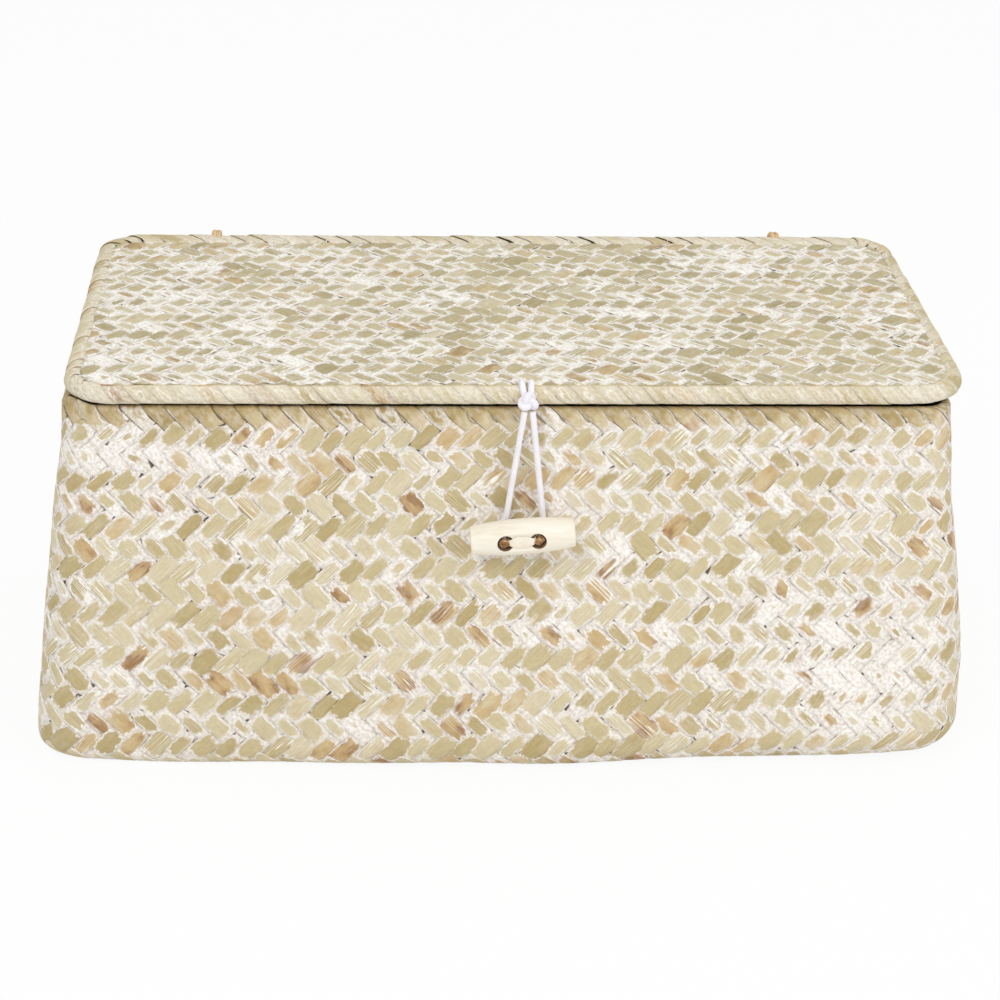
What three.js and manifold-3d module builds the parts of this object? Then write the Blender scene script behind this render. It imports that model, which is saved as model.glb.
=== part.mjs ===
import * as THREE from 'three';
import { mergeVertices } from 'three/addons/utils/BufferGeometryUtils.js';
import Module from 'manifold-3d';

// Woven lidded box with a flat tied-on lid, closed by an elastic loop over a wooden toggle.
// Millimetres, +Z up, origin under the middle of the base. The front wall faces -Y.

// Gap kept between neighbouring pieces.
const GAP = 0.3;

// Body: outside of the woven wall at the rim, and how far it swells out towards the base.
const RIM_TOP = 130;
const RIM_HALF_W = 150.2;
const RIM_HALF_D = 83.8;
const RIM_CORNER_R = 10;
const BASE_CORNER_R = 22;
const SWELL_W = 12.5;
const SWELL_D = 8.6;
const SWELL_BOW = 6.5;
const SWELL_POWER = 1.4;
const BASE_EDGE_R = 9;
const WALL = 2.2;
const WALL_LEVELS = [20, 32, 45, 58, 72, 86, 100, 113];
const SIDE_STEPS = 8;
const CORNER_STEPS = 6;
const ARC_STEPS = 8;

// Folded hem over the body's top edge, with a cane hoop inside it.
const HEM_THICK = 0.7;
const HEM_OUTSIDE = 1.4;
const HEM_WIDTH = 5.2;
const HEM_HEIGHT = 6.8;
const BODY_HOOP_R = 1.4;

// Lid: a woven mat whose edge is wrapped round a cane hoop.
const LID_SHIFT = 2.7;
const LID_BOTTOM = 130.4;
const LID_HALF_W = 152.5;
const LID_HALF_D = 86;
const LID_CORNER_R = 17;
const LID_THICK = 7;
const LID_WRAP = 0.7;
const LID_TOP_LEG = 8.5;
const LID_UNDER_LEG = 7.5;
const MAT_INSET = 3;
const MAT_THICK = 2;
const LID_HOOP_R = 1.3;

// Hinge ties: string rings round the axis on which the lid turns.
const HINGE_Y = 85;
const HINGE_Z = 130.2;
const TIE_HALF_SPAN = 108.3;
const TIE_RING_R = 7.6;
const TIE_CORD_R = 1.2;
const TIE_SIDES = 8;
const TIE_STEPS = 28;

// Elastic cord: its stitch through the lid's front edge, its knot, and the loop below.
const CORD_R = 1.05;
const CORD_SIDES = 8;
const KNOT_CENTRE = [5.4, -88.9, 133.3];
const KNOT_HALF = [3.6, 2.5, 3];
const STITCH_STEPS = 30;
const STITCH_ROUTE = [
  [4.6, -88.4, 133.6], [4.0, -87.35, 135.5], [3.6, -86.0, 137.2], [3.4, -84.4, 138.15],
  [3.25, -82.8, 138.0], [3.2, -81.5, 137.1], [3.2, -80.4, 135.9], [3.2, -79.7, 134.5],
  [3.7, -79.5, 133.1], [4.9, -79.5, 132.6], [6.1, -79.5, 133.1], [6.6, -79.7, 134.5],
  [6.6, -80.4, 135.9], [6.6, -81.5, 137.1], [6.55, -82.8, 138.0], [6.5, -84.4, 138.15],
  [6.4, -86.0, 137.2], [6.3, -87.35, 135.5], [6.1, -88.4, 133.6],
];
const LOOP_STEPS = 46;
const LOOP_ROUTE = [
  [4.2, -88.9, 129.9], [3.09, -88.9, 122.2], [1.92, -88.95, 114.0], [0.65, -89.0, 105.2],
  [-0.41, -89.2, 97.8], [-0.78, -89.28, 95.2], [-1.08, -89.34, 93.2], [-1.28, -89.36, 92.27],
  [-1.63, -89.38, 91.35], [-2.06, -89.4, 90.59], [-2.82, -89.42, 89.35], [-3.4, -89.48, 87.75],
  [-3.37, -89.65, 86.11], [-2.8, -89.83, 84.58], [-1.75, -90.01, 83.33], [-0.33, -90.1, 82.51],
  [1.27, -90.1, 82.23], [4.14, -90.1, 82.23], [7.0, -90.1, 82.23], [8.61, -90.1, 82.51],
  [10.02, -90.01, 83.33], [11.07, -89.83, 84.58], [11.63, -89.65, 86.11], [11.67, -89.51, 87.46],
  [11.22, -89.38, 91.5], [10.8, -89.28, 95.2], [10.51, -89.2, 97.8], [9.68, -89.0, 105.2],
  [8.69, -88.95, 114.0], [7.77, -88.9, 122.2], [6.9, -88.9, 129.9],
];

// Toggle: a turned barrel lying along the front wall, and the strip that sews it on.
const TOGGLE_CENTRE = [4, -97, 88.2];
const TOGGLE_TILT = -4.7;
const TOGGLE_LENGTH = 35.1;
const TOGGLE_MID_R = 6.15;
const TOGGLE_END_R = 4.75;
const TOGGLE_END_ROUND = 0.4;
const TOGGLE_SIDES = 28;
const TOGGLE_RINGS = 10;
const HOLE_R = 2.8;
const HOLE_SIDES = 20;
const HOLE_HALF_SPAN = 5.5;
const HOLE_SHIFT = -0.5;
const GROOVE_DEPTH = 1.3;
const STRIP_WIDTH = 2.2;
const STRIP_THICK = 0.8;
const STRIP_INSET = 0.9;
const STRIP_INSIDE = 12.8;
const STRIP_STEPS = 44;
const STRIP_KNOT_HALF = [6.5, 1.2, 2.2];

const COLOURS = {
  weave: [0xd9cca4, 0.75],
  binding: [0xd6c79b, 0.72],
  cane: [0xb99a66, 0.6],
  string: [0xc9a56a, 0.85],
  elastic: [0xf4f2f6, 0.8],
  toggle: [0xf0e6cf, 0.45],
  fibre: [0xcdb488, 0.8],
};

const wasm = await Module();
wasm.setup();

function toSolid(geometry) {
  const bare = geometry.clone();
  bare.deleteAttribute('normal');
  bare.deleteAttribute('uv');
  const merged = mergeVertices(bare);
  const vertProperties = new Float32Array(merged.attributes.position.array);
  const triVerts = new Uint32Array(merged.index.array);
  return new wasm.Manifold(new wasm.Mesh({ numProp: 3, vertProperties, triVerts }));
}

function toGeometry(solid) {
  const mesh = solid.getMesh();
  const geometry = new THREE.BufferGeometry();
  geometry.setAttribute('position', new THREE.BufferAttribute(mesh.vertProperties, 3));
  geometry.setIndex(new THREE.BufferAttribute(mesh.triVerts, 1));
  return geometry;
}

function cut(geometry, tools) {
  const whole = toSolid(geometry);
  return toGeometry(tools.reduce((solid, tool) => solid.subtract(toSolid(tool)), whole));
}

function join(geometries) {
  return toGeometry(geometries.map(toSolid).reduce((solid, other) => solid.add(other)));
}

function vectors(points) {
  return points.map(([x, y, z]) => new THREE.Vector3(x, y, z));
}

// Rounded rectangle seen from above, anticlockwise. Its sides can bow outwards.
function outline(halfW, halfD, radius, bow = 0, sideSteps = 1) {
  const points = [];
  const signs = [[1, 1], [-1, 1], [-1, -1], [1, -1]];
  signs.forEach(([signX, signY], corner) => {
    const centreX = signX * (halfW - radius);
    const centreY = signY * (halfD - radius);
    for (let step = 0; step <= CORNER_STEPS; step++) {
      const angle = (corner + step / CORNER_STEPS) * Math.PI / 2;
      points.push([centreX + radius * Math.cos(angle), centreY + radius * Math.sin(angle)]);
    }
    const isLong = corner % 2 === 0;
    const reach = (isLong ? halfW : halfD) - radius;
    const distance = isLong ? halfD : halfW;
    const sideBow = bow * (isLong ? 1 : halfD / halfW);
    const facing = (corner + 1) * Math.PI / 2;
    for (let step = 1; step < sideSteps; step++) {
      const along = 2 * step / sideSteps - 1;
      const out = distance + sideBow * (1 - along * along);
      const x = out * Math.cos(facing) - along * reach * Math.sin(facing);
      const y = out * Math.sin(facing) + along * reach * Math.cos(facing);
      points.push([x, y]);
    }
  });
  return points;
}

function ringAt(points, z) {
  return points.map(([x, y]) => [x, y, z]);
}

// Skin through rings of equal length. It closes on itself, or is capped flat at both ends.
function loft(rings, closesOnItself) {
  const size = rings[0].length;
  const positions = rings.flat();
  const index = [];
  const spans = closesOnItself ? rings.length : rings.length - 1;
  for (let ring = 0; ring < spans; ring++) {
    const low = ring * size;
    const high = ((ring + 1) % rings.length) * size;
    for (let i = 0; i < size; i++) {
      const j = (i + 1) % size;
      index.push(low + i, low + j, high + j, low + i, high + j, high + i);
    }
  }
  if (!closesOnItself) {
    const first = positions.push([0, 0, rings[0][0][2]]) - 1;
    const last = positions.push([0, 0, rings.at(-1)[0][2]]) - 1;
    const top = (rings.length - 1) * size;
    for (let i = 0; i < size; i++) {
      const j = (i + 1) % size;
      index.push(first, j, i, last, top + i, top + j);
    }
  }
  const geometry = new THREE.BufferGeometry();
  geometry.setAttribute('position', new THREE.Float32BufferAttribute(positions.flat(), 3));
  geometry.setIndex(index);
  return geometry;
}

// Ring of constant section round a rounded rectangle. A section point is [outwards, height].
function hoopOf(section, halfW, halfD, radius) {
  const rings = section.map(([out, z]) => ringAt(outline(halfW + out, halfD + out, radius + out), z));
  return loft(rings, true);
}

function arc(centreOut, centreZ, radius, from, to, steps = ARC_STEPS) {
  const points = [];
  for (let step = 0; step <= steps; step++) {
    const angle = THREE.MathUtils.degToRad(from + (to - from) * step / steps);
    points.push([centreOut + radius * Math.cos(angle), centreZ + radius * Math.sin(angle)]);
  }
  return points;
}

function roundSection(centreOut, centreZ, radius) {
  return arc(centreOut, centreZ, radius, 0, 360).slice(0, -1);
}

function tube(route, radius, steps) {
  const section = new THREE.Shape();
  for (let side = 0; side < CORD_SIDES; side++) {
    const angle = 2 * Math.PI * side / CORD_SIDES;
    const x = radius * Math.cos(angle);
    const y = radius * Math.sin(angle);
    if (side === 0) section.moveTo(x, y);
    else section.lineTo(x, y);
  }
  const extrudePath = new THREE.CatmullRomCurve3(vectors(route));
  return new THREE.ExtrudeGeometry(section, { steps, extrudePath, bevelEnabled: false });
}

function ellipsoid(centre, half) {
  return new THREE.SphereGeometry(1, 16, 10).scale(...half).translate(...centre);
}

// Outside of the woven wall at a height: plain at the rim, swollen towards the base.
function wallOutline(z, inset) {
  const drop = (RIM_TOP - z) / RIM_TOP;
  const swell = Math.sin(drop * Math.PI / 2) ** SWELL_POWER;
  const halfW = RIM_HALF_W + SWELL_W * swell - inset;
  const halfD = RIM_HALF_D + SWELL_D * swell - inset;
  const radius = THREE.MathUtils.lerp(RIM_CORNER_R, BASE_CORNER_R, swell) - inset;
  return outline(halfW, halfD, radius, SWELL_BOW * swell * swell, SIDE_STEPS);
}

// Rings of one face of the body, from the edge of the flat base up to the top of the wall.
function wallFace(depth, wallTop) {
  const radius = BASE_EDGE_R - depth;
  const rings = [];
  for (let step = 0; step <= 4; step++) {
    const angle = step / 4 * Math.PI / 2;
    const z = BASE_EDGE_R - radius * Math.cos(angle);
    const inset = BASE_EDGE_R - radius * Math.sin(angle);
    rings.push(ringAt(wallOutline(z, inset), z));
  }
  for (const z of [...WALL_LEVELS, wallTop]) {
    rings.push(ringAt(wallOutline(z, depth), z));
  }
  return rings;
}

const hemMiddle = HEM_OUTSIDE - HEM_WIDTH / 2;
const hemArcZ = RIM_TOP - HEM_WIDTH / 2;
const bodyHoopZ = RIM_TOP - HEM_THICK - GAP - BODY_HOOP_R;
const wallTop = bodyHoopZ - BODY_HOOP_R - GAP;

function tieRing(side, cordRadius) {
  const ring = new THREE.TorusGeometry(TIE_RING_R, cordRadius, TIE_SIDES, TIE_STEPS);
  return ring.rotateY(Math.PI / 2).translate(LID_SHIFT + side * TIE_HALF_SPAN, HINGE_Y, HINGE_Z);
}

const tieChannels = [-1, 1].map((side) => tieRing(side, TIE_CORD_R + GAP));

function placeAtToggle(geometry) {
  return geometry.rotateY(THREE.MathUtils.degToRad(TOGGLE_TILT)).translate(...TOGGLE_CENTRE);
}

const holeXs = [HOLE_SHIFT - HOLE_HALF_SPAN, HOLE_SHIFT + HOLE_HALF_SPAN];
const stripXs = [holeXs[0] + STRIP_INSET, holeXs[1] - STRIP_INSET];

function wovenBody() {
  const skin = [...wallFace(0, wallTop), ...wallFace(WALL, wallTop).reverse()];
  const slotDepth = 4 * WALL;
  const slots = stripXs.map((x) => {
    const slot = new THREE.BoxGeometry(STRIP_THICK + 2 * GAP, slotDepth, STRIP_WIDTH + 2 * GAP);
    return placeAtToggle(slot.translate(x, STRIP_INSIDE - WALL, 0));
  });
  return cut(loft(skin, false), [...tieChannels, ...slots]);
}

function bodyRimBinding() {
  const foot = RIM_TOP - HEM_HEIGHT;
  const outer = HEM_WIDTH / 2;
  const inner = outer - HEM_THICK;
  const section = [
    [hemMiddle + outer, foot], ...arc(hemMiddle, hemArcZ, outer, 0, 180), [hemMiddle - outer, foot],
    [hemMiddle - inner, foot], ...arc(hemMiddle, hemArcZ, inner, 180, 0), [hemMiddle + inner, foot],
  ];
  return cut(hoopOf(section, RIM_HALF_W, RIM_HALF_D, RIM_CORNER_R), tieChannels);
}

function bodyRimHoop() {
  const section = roundSection(hemMiddle, bodyHoopZ, BODY_HOOP_R);
  return hoopOf(section, RIM_HALF_W, RIM_HALF_D, RIM_CORNER_R);
}

const noseR = LID_THICK / 2;
const matTop = LID_BOTTOM + LID_THICK - LID_WRAP - GAP;
const lidHoopZ = LID_BOTTOM + LID_WRAP + GAP + LID_HOOP_R;
const stitchChannel = tube(STITCH_ROUTE, CORD_R + GAP, STITCH_STEPS);

function lidPanel() {
  const edge = outline(LID_HALF_W - MAT_INSET, LID_HALF_D - MAT_INSET, LID_CORNER_R - MAT_INSET);
  const mat = loft([ringAt(edge, matTop - MAT_THICK), ringAt(edge, matTop)], false);
  return cut(mat.translate(LID_SHIFT, 0, 0), [...tieChannels, stitchChannel]);
}

function lidRimBinding() {
  const centreZ = LID_BOTTOM + noseR;
  const top = LID_BOTTOM + LID_THICK;
  const section = [
    [-LID_UNDER_LEG, LID_BOTTOM], ...arc(-noseR, centreZ, noseR, -90, 90), [-LID_TOP_LEG, top],
    [-LID_TOP_LEG, top - LID_WRAP], ...arc(-noseR, centreZ, noseR - LID_WRAP, 90, -90),
    [-LID_UNDER_LEG, LID_BOTTOM + LID_WRAP],
  ];
  const wrap = hoopOf(section, LID_HALF_W, LID_HALF_D, LID_CORNER_R);
  return cut(wrap.translate(LID_SHIFT, 0, 0), [...tieChannels, stitchChannel]);
}

function lidRimHoop() {
  const section = roundSection(-noseR, lidHoopZ, LID_HOOP_R);
  return hoopOf(section, LID_HALF_W, LID_HALF_D, LID_CORNER_R).translate(LID_SHIFT, 0, 0);
}

function elasticAnchor() {
  return join([tube(STITCH_ROUTE, CORD_R, STITCH_STEPS), ellipsoid(KNOT_CENTRE, KNOT_HALF)]);
}

function elasticLoop() {
  return tube(LOOP_ROUTE, CORD_R, LOOP_STEPS);
}

// Barrel turned about its own length, drilled front to back, with a groove between the holes.
function toggle() {
  const half = TOGGLE_LENGTH / 2;
  const shoulder = half - TOGGLE_END_ROUND;
  const profile = [[0, -half], [TOGGLE_END_R - TOGGLE_END_ROUND, -half]];
  for (let ring = 0; ring <= TOGGLE_RINGS; ring++) {
    const along = 2 * ring / TOGGLE_RINGS - 1;
    const radius = TOGGLE_MID_R - (TOGGLE_MID_R - TOGGLE_END_R) * along * along;
    profile.push([radius, along * shoulder]);
  }
  profile.push([TOGGLE_END_R - TOGGLE_END_ROUND, half], [0, half]);
  const points = profile.map(([radius, along]) => new THREE.Vector2(radius, along));
  const barrel = new THREE.LatheGeometry(points, TOGGLE_SIDES).rotateZ(-Math.PI / 2);
  const holes = holeXs.map((x) => {
    return new THREE.CylinderGeometry(HOLE_R, HOLE_R, 4 * TOGGLE_MID_R, HOLE_SIDES).translate(x, 0, 0);
  });
  const groove = new THREE.BoxGeometry(2 * HOLE_HALF_SPAN, 2 * GROOVE_DEPTH, 2 * HOLE_R);
  groove.translate(HOLE_SHIFT, -TOGGLE_MID_R, 0);
  return placeAtToggle(cut(barrel, [...holes, groove]));
}

// Flat strip from inside the wall, out through one hole, along the groove and back, tied inside.
function toggleLashing() {
  const [left, right] = stripXs;
  const front = -(TOGGLE_MID_R - GROOVE_DEPTH + GAP + STRIP_THICK / 2);
  const bend = [[0, 2], [0.35, 0.65], [1.7, 0]];
  const route = [
    [left, STRIP_INSIDE], [left, STRIP_INSIDE / 2], [left, 0], ...bend.map(([x, y]) => [left + x, front + y]),
    [HOLE_SHIFT, front], ...bend.map(([x, y]) => [right - x, front + y]).reverse(), [right, 0],
    [right, STRIP_INSIDE / 2], [right, STRIP_INSIDE],
  ];
  const extrudePath = new THREE.CatmullRomCurve3(route.map(([x, y]) => new THREE.Vector3(x, y, 0)));
  const section = new THREE.Shape();
  section.moveTo(-STRIP_WIDTH / 2, -STRIP_THICK / 2);
  section.lineTo(STRIP_WIDTH / 2, -STRIP_THICK / 2);
  section.lineTo(STRIP_WIDTH / 2, STRIP_THICK / 2);
  section.lineTo(-STRIP_WIDTH / 2, STRIP_THICK / 2);
  const strip = new THREE.ExtrudeGeometry(section, { steps: STRIP_STEPS, extrudePath, bevelEnabled: false });
  const knot = ellipsoid([HOLE_SHIFT, STRIP_INSIDE + STRIP_KNOT_HALF[1] / 2, 0], STRIP_KNOT_HALF);
  return placeAtToggle(join([strip, knot]));
}

function piece(name, geometry, look) {
  const [color, roughness] = COLOURS[look];
  const material = new THREE.MeshStandardMaterial({ color, roughness, metalness: 0 });
  const mesh = new THREE.Mesh(geometry, material);
  mesh.name = name;
  return mesh;
}

const box = new THREE.Group();
box.add(
  piece('woven_body', wovenBody(), 'weave'),
  piece('body_rim_binding', bodyRimBinding(), 'binding'),
  piece('body_rim_hoop', bodyRimHoop(), 'cane'),
  piece('hinge_tie_left', tieRing(-1, TIE_CORD_R), 'string'),
  piece('hinge_tie_right', tieRing(1, TIE_CORD_R), 'string'),
  piece('toggle_lashing', toggleLashing(), 'fibre'),
  piece('toggle', toggle(), 'toggle'),
);

const lid = new THREE.Group();
lid.add(
  piece('lid_panel', lidPanel(), 'weave'),
  piece('lid_rim_binding', lidRimBinding(), 'binding'),
  piece('lid_rim_hoop', lidRimHoop(), 'cane'),
  piece('elastic_anchor', elasticAnchor(), 'elastic'),
  piece('elastic_loop', elasticLoop(), 'elastic'),
);
box.add(lid);

export default box;
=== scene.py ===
"""Looks of the woven lidded box: every strand, fold, tie and cord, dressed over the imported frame."""
import math

import bpy
import numpy as np
from mathutils import Matrix, Vector


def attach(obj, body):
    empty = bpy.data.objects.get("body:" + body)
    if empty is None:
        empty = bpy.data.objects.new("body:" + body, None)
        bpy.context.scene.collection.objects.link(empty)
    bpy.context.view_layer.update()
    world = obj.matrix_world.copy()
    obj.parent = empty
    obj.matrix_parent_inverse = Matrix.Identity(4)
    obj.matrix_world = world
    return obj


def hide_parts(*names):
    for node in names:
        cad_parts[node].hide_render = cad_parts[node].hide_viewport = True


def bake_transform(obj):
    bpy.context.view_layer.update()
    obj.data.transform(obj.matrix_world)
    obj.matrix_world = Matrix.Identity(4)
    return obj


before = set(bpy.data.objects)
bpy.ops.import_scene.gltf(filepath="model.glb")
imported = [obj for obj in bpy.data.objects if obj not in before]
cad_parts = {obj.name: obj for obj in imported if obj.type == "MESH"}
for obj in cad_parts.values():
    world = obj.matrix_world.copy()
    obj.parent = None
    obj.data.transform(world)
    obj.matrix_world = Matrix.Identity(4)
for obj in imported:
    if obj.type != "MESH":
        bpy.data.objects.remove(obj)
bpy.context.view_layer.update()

MM = 0.001
SEED = 11

# Camera, in mm and degrees.
CAMERA_SPOT = (-51.4, -966.1, 462.3)
CAMERA_PITCH = 22.52
CAMERA_YAW = 3.13
CAMERA_ROLL = 1.14
CAMERA_LENS = 101.63
SENSOR = 36.0
CLIP_END = 50000.0

# Body, in mm.
RIM_TOP = 130.0
RIM_HALF_W = 150.2
RIM_HALF_D = 83.8
RIM_CORNER_R = 10.0
BASE_CORNER_R = 22.0
LEAST_CORNER_R = 3.0
SWELL_W = 12.5
SWELL_D = 8.6
SWELL_BOW = 6.5
SWELL_POWER = 1.4
BASE_EDGE_R = 9.0
BASE_EDGE_VARY = 3.5
FLOOR_SOFT = 0.25
FOLD_Z = 127.8
FOLD_R = 1.9
RIM_CANE_R = 1.0
RIM_CANE_OUT = -1.75
RIM_CANE_Z = 127.6

# Handmade unevenness of the body, in mm. Dents are the place round it, the half length and the mm out.
FOOT_DENTS = ((0.133, 0.022, 3.0), (-0.105, 0.04, -2.2), (-0.163, 0.013, 1.8))
DENT_HEIGHT = 26.0
CORNER_PEAK = 2.4
FOLD_DROP = 0.5
FOLD_DROP_X = (-145.0, -35.0)
NEAR_RIM_Z = (112.0, 128.0)
LOOSE_Z = (124.0, 108.0)
ROW_WAVES = ((0.9, 3, 0.6), (0.6, 8, 2.1))
WALL_WAVES = ((0.35, (0.05, 0.06, 0.09)), (0.25, (-0.09, 0.1, 0.14)))
WALL_INSET = 0.2

# Lid, in mm.
LID_SHIFT = 2.7
LID_BOTTOM = 130.4
LID_HALF_W = 152.5
LID_HALF_D = 86.0
LID_CORNER_R = 17.0
LID_THICK = 7.0
LID_UNDER_LEG = 7.5
LID_DENTS = ((0.161, 0.013, -1.7),)
MAT_MID = 136.85
MAT_HALF_W = 147.0
MAT_FRONT = -82.3
MAT_BACK = 75.9
MAT_CORNER_R = 13.0
MAT_WAVE_RATES = (0.035, 0.05)
LID_WAVE = 0.2
LID_WAVE_EDGE = 18.0
LID_RIPPLE = 0.12
LID_RIPPLE_RATES = (0.09, 0.07)
LID_EDGE_DIP = 0.35
LID_EDGE_FADE = 1.5

# Hinge ties, elastic and toggle, in mm and degrees.
HINGE_Y = 85.0
HINGE_Z = 130.2
TIE_HALF_SPAN = 108.3
TIE_RING_R = 7.4
TIE_TURN_GAP = 0.8
TIE_TWISTS = 15
TIE_TWIST_R = 0.5
TIE_PLY_R = 0.62
CORD_R = 1.05
KNOT_CENTRE = (5.4, -88.9, 133.3)
KNOT_HALF = (2.5, 1.0, 2.4)
KNOT_LEAN = -6.0
KNOT_CORD_R = 1.25
STITCH_ROUTE = (
    (4.6, -88.4, 133.6), (4.0, -87.35, 135.5), (3.6, -86.0, 137.2), (3.4, -84.4, 138.15),
    (3.25, -82.8, 138.0), (3.2, -81.5, 137.1), (3.2, -80.4, 135.9), (3.2, -79.7, 134.5),
    (3.7, -79.5, 133.1), (4.9, -79.5, 132.6), (6.1, -79.5, 133.1), (6.6, -79.7, 134.5),
    (6.6, -80.4, 135.9), (6.6, -81.5, 137.1), (6.55, -82.8, 138.0), (6.5, -84.4, 138.15),
    (6.4, -86.0, 137.2), (6.3, -87.35, 135.5), (6.1, -88.4, 133.6),
)
LOOP_ROUTE = (
    (4.2, -88.9, 129.9), (3.09, -88.9, 122.2), (1.92, -88.95, 114.0), (0.65, -89.0, 105.2),
    (-0.41, -89.2, 97.8), (-0.78, -89.28, 95.2), (-1.08, -89.34, 93.2), (-1.28, -89.36, 92.27),
    (-1.63, -89.38, 91.35), (-2.06, -89.4, 90.59), (-2.82, -89.42, 89.35), (-3.4, -89.48, 87.75),
    (-3.37, -89.65, 86.11), (-2.8, -89.83, 84.58), (-1.75, -90.01, 83.33), (-0.33, -90.1, 82.51),
    (1.27, -90.1, 82.23), (4.14, -90.1, 82.23), (7.0, -90.1, 82.23), (8.61, -90.1, 82.51),
    (10.02, -90.01, 83.33), (11.07, -89.83, 84.58), (11.63, -89.65, 86.11), (11.67, -89.51, 87.46),
    (11.22, -89.38, 91.5), (10.8, -89.28, 95.2), (10.51, -89.2, 97.8), (9.68, -89.0, 105.2),
    (8.69, -88.95, 114.0), (7.77, -88.9, 122.2), (6.9, -88.9, 129.9),
)
TOGGLE_CENTRE = (4.0, -97.0, 88.2)
TOGGLE_TILT = -4.7
TOGGLE_LENGTH = 35.1
TOGGLE_MID_R = 6.15
TOGGLE_END_R = 4.75
TOGGLE_END_ROUND = 0.4
SHARP_ANGLE = 35.0
HOLE_R = 2.8
HOLE_HALF_SPAN = 5.5
HOLE_SHIFT = -0.5
HOLES_X = (HOLE_SHIFT - HOLE_HALF_SPAN, HOLE_SHIFT + HOLE_HALF_SPAN)
BORE_HALF = TOGGLE_MID_R + 1.0
GROOVE_DEPTH = 1.3
GROOVE_HALF = 4.2
STRIP_WIDTH = 2.2
STRIP_THICK = 0.8
STRIP_INSET = 0.9
STRIP_INSIDE = 12.8
STRIP_LIFT = 0.32
STRIP_BEND = ((0.0, 2.0), (0.25, 0.6), (1.0, 0.0))
STRIP_WIDENS = 1.0
STRIP_WIDE_X = (0.6, 2.8)
STRIP_WAVE = (0.06, 1.1)
STRIP_ROUND = 0.7
STRIP_KNOT_DEEPER = 0.4
STRIP_KNOT_HALF = (5.2, 0.5, 1.3)
STRIP_KNOT_R = 0.75
TUFTS = 20
TUFT_OUT = 0.35
TUFT_SPREAD = (0.2, 1.6)
TUFT_FLAT = 0.85
TUFT_TURN = 2.0
TUFT_DEPTH = (0.5, 1.8)
TUFT_BOW = 1.6
TUFT_R = (0.28, 0.45)

# Weave: a two-over two-under twill on the bias. A unit is the spacing of the strands.
COLUMNS = 120
ROW = 7.95
TOP_ROW_Z = 118.6
TOP_ROW_UNIT = 28.5
TOP_ROW_SHARE = 0.94
ROW_GROWTH = 0.0017
WALL_FOOT = -6.0
WALL_TOP = {1: 30.8, -1: 29.35}
BASE_COLUMN = 8.1
BASE_MID = 2.3
BASE_WAVE = 0.3
BASE_MAT_HALF_W = 152.0
BASE_MAT_HALF_D = 82.0
LID_COLUMN = 7.92
LID_ROW = 8.65
LID_SHEAR = -0.075
MAT_REACH = 40
WALL_PIECES = 4
LID_PIECES = 2
BASE_PIECES = 1
LEANS = ((1, "right"), (-1, "left"))
TWILL_PERIOD = 4
TWILL_MIDDLE = {1: 0.5, -1: 2.5}
STRAND_THICK = 0.35
WALL_SINK = -0.13
RELIEF = 0.175
FILL = 1.075

# Handwork of the strands, in units. Widths are middle, spread, least and most. Waves are size and rate.
TWILL_WIDTH = (1.0, 0.025, 0.93, 1.04)
HEM_WIDTH = (1.0, 0.03, 0.95, 1.05)
WRAP_WIDTH = (1.03, 0.03, 0.97, 1.08)
WIDTH_WAVE = (0.035, 1.3)
PAIR_WIDTH = 0.17
PINCH_SHARE = 0.11
PINCH_DEPTH = (0.2, 0.5)
PINCH_HALF = 0.3
DRIFT_WAVE = (0.08, 0.3)
DRIFT_SPREAD = 0.015
SLIP_WAVE = (0.16, 0.7)
SLIP_SPREAD = 0.08
RAGGED_ENDS = (-0.2, 0.12)
END_STRETCH = 0.003
WAVE_VARY = (0.7, 1.3)
WAVE_HEIGHT = 1.6
PATCH_WAVES = 7
PATCH_VARY = (0.7, 2.2)
PATCH_HEIGHT = 2.6

# Floats: how far each is rubbed bare, its tone, its combed lines, and its lift in mm.
FLOATS = 40
FIRST_FLOAT = 10
PLAIN = 3.0
RUB_SPREAD = 0.07
ODD_FLOATS = ((0.06, -0.3), (0.07, 0.15))
FAINT_BARE = (0.5, 0.25)
FAINT_LESS = 0.12
LEAN_BARE = {1: 0.06, -1: -0.06}
LEAN_TONE = {1: 1.35, -1: 0.85}
COMB_GAIN = 2.4
RIM_COMB_GAIN = 2.2
COMB_LESS = 1.3
FLOAT_LIFT = (-0.05, 0.06)

# Hem, in units up the wall.
HEM_UNITS = (28.7, 33.6)
HEM_RISE = 29.5
HEM_RISE_HALF = 0.5
HEM_TAPER = (0.06, 0.3)
HEM_TAPER_AT = 29.85
HEM_TAPER_HALF = 0.4
HEM_TAPER_LEAN = 0.3
HEM_DRIFT = 0.03
HEM_LIFT = (-0.05, 0.05)
HEM_RUBBED = 0.88
HEM_RUB_SPREAD = 0.2
HEM_INSIDE = 31.6
# Painted shade under the lid's edge: the hem's tone darkens over this span towards the top of its fold.
HEM_SHADE_SPAN = (30.2, 30.7)
HEM_SHADE_DEPTH = 0.8

# Wraps of the lid's edge, in mm. They start at places out from the mat's edge and down from the lid's top.
LID_WRAPS = 118
SHOWN_FRONT = 3.9
SHOWN_SIDE = 5.8
SHOWN_BACK = 10.5
WRAP_START = ((-3.0, 1.75), (-1.2, 1.35), (0.0, 0.75), (0.9, 0.3), (1.6, 0.08))
WRAP_FLAT_FROM = 2.6
WRAP_FLAT_STEP = 1.2
WRAP_FLAT_STOP = 0.3
WRAP_BEND_FROM = 2.2
WRAP_LEGS = (1.3, 2.6)
WRAP_LEG_PAST = 2.0
WRAP_SLANT = 0.8
WRAP_SLIP = 0.25
WRAP_OVERLAP = 0.09
THIN_WRAPS = 0.3
THIN_WRAP_WIDTH = 0.8
WRAP_EDGE_OUT = 5.7
WRAP_EDGE_LEAST = 0.2
WRAP_UNDER = -1.2
WRAP_TOP = 1.35
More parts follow.
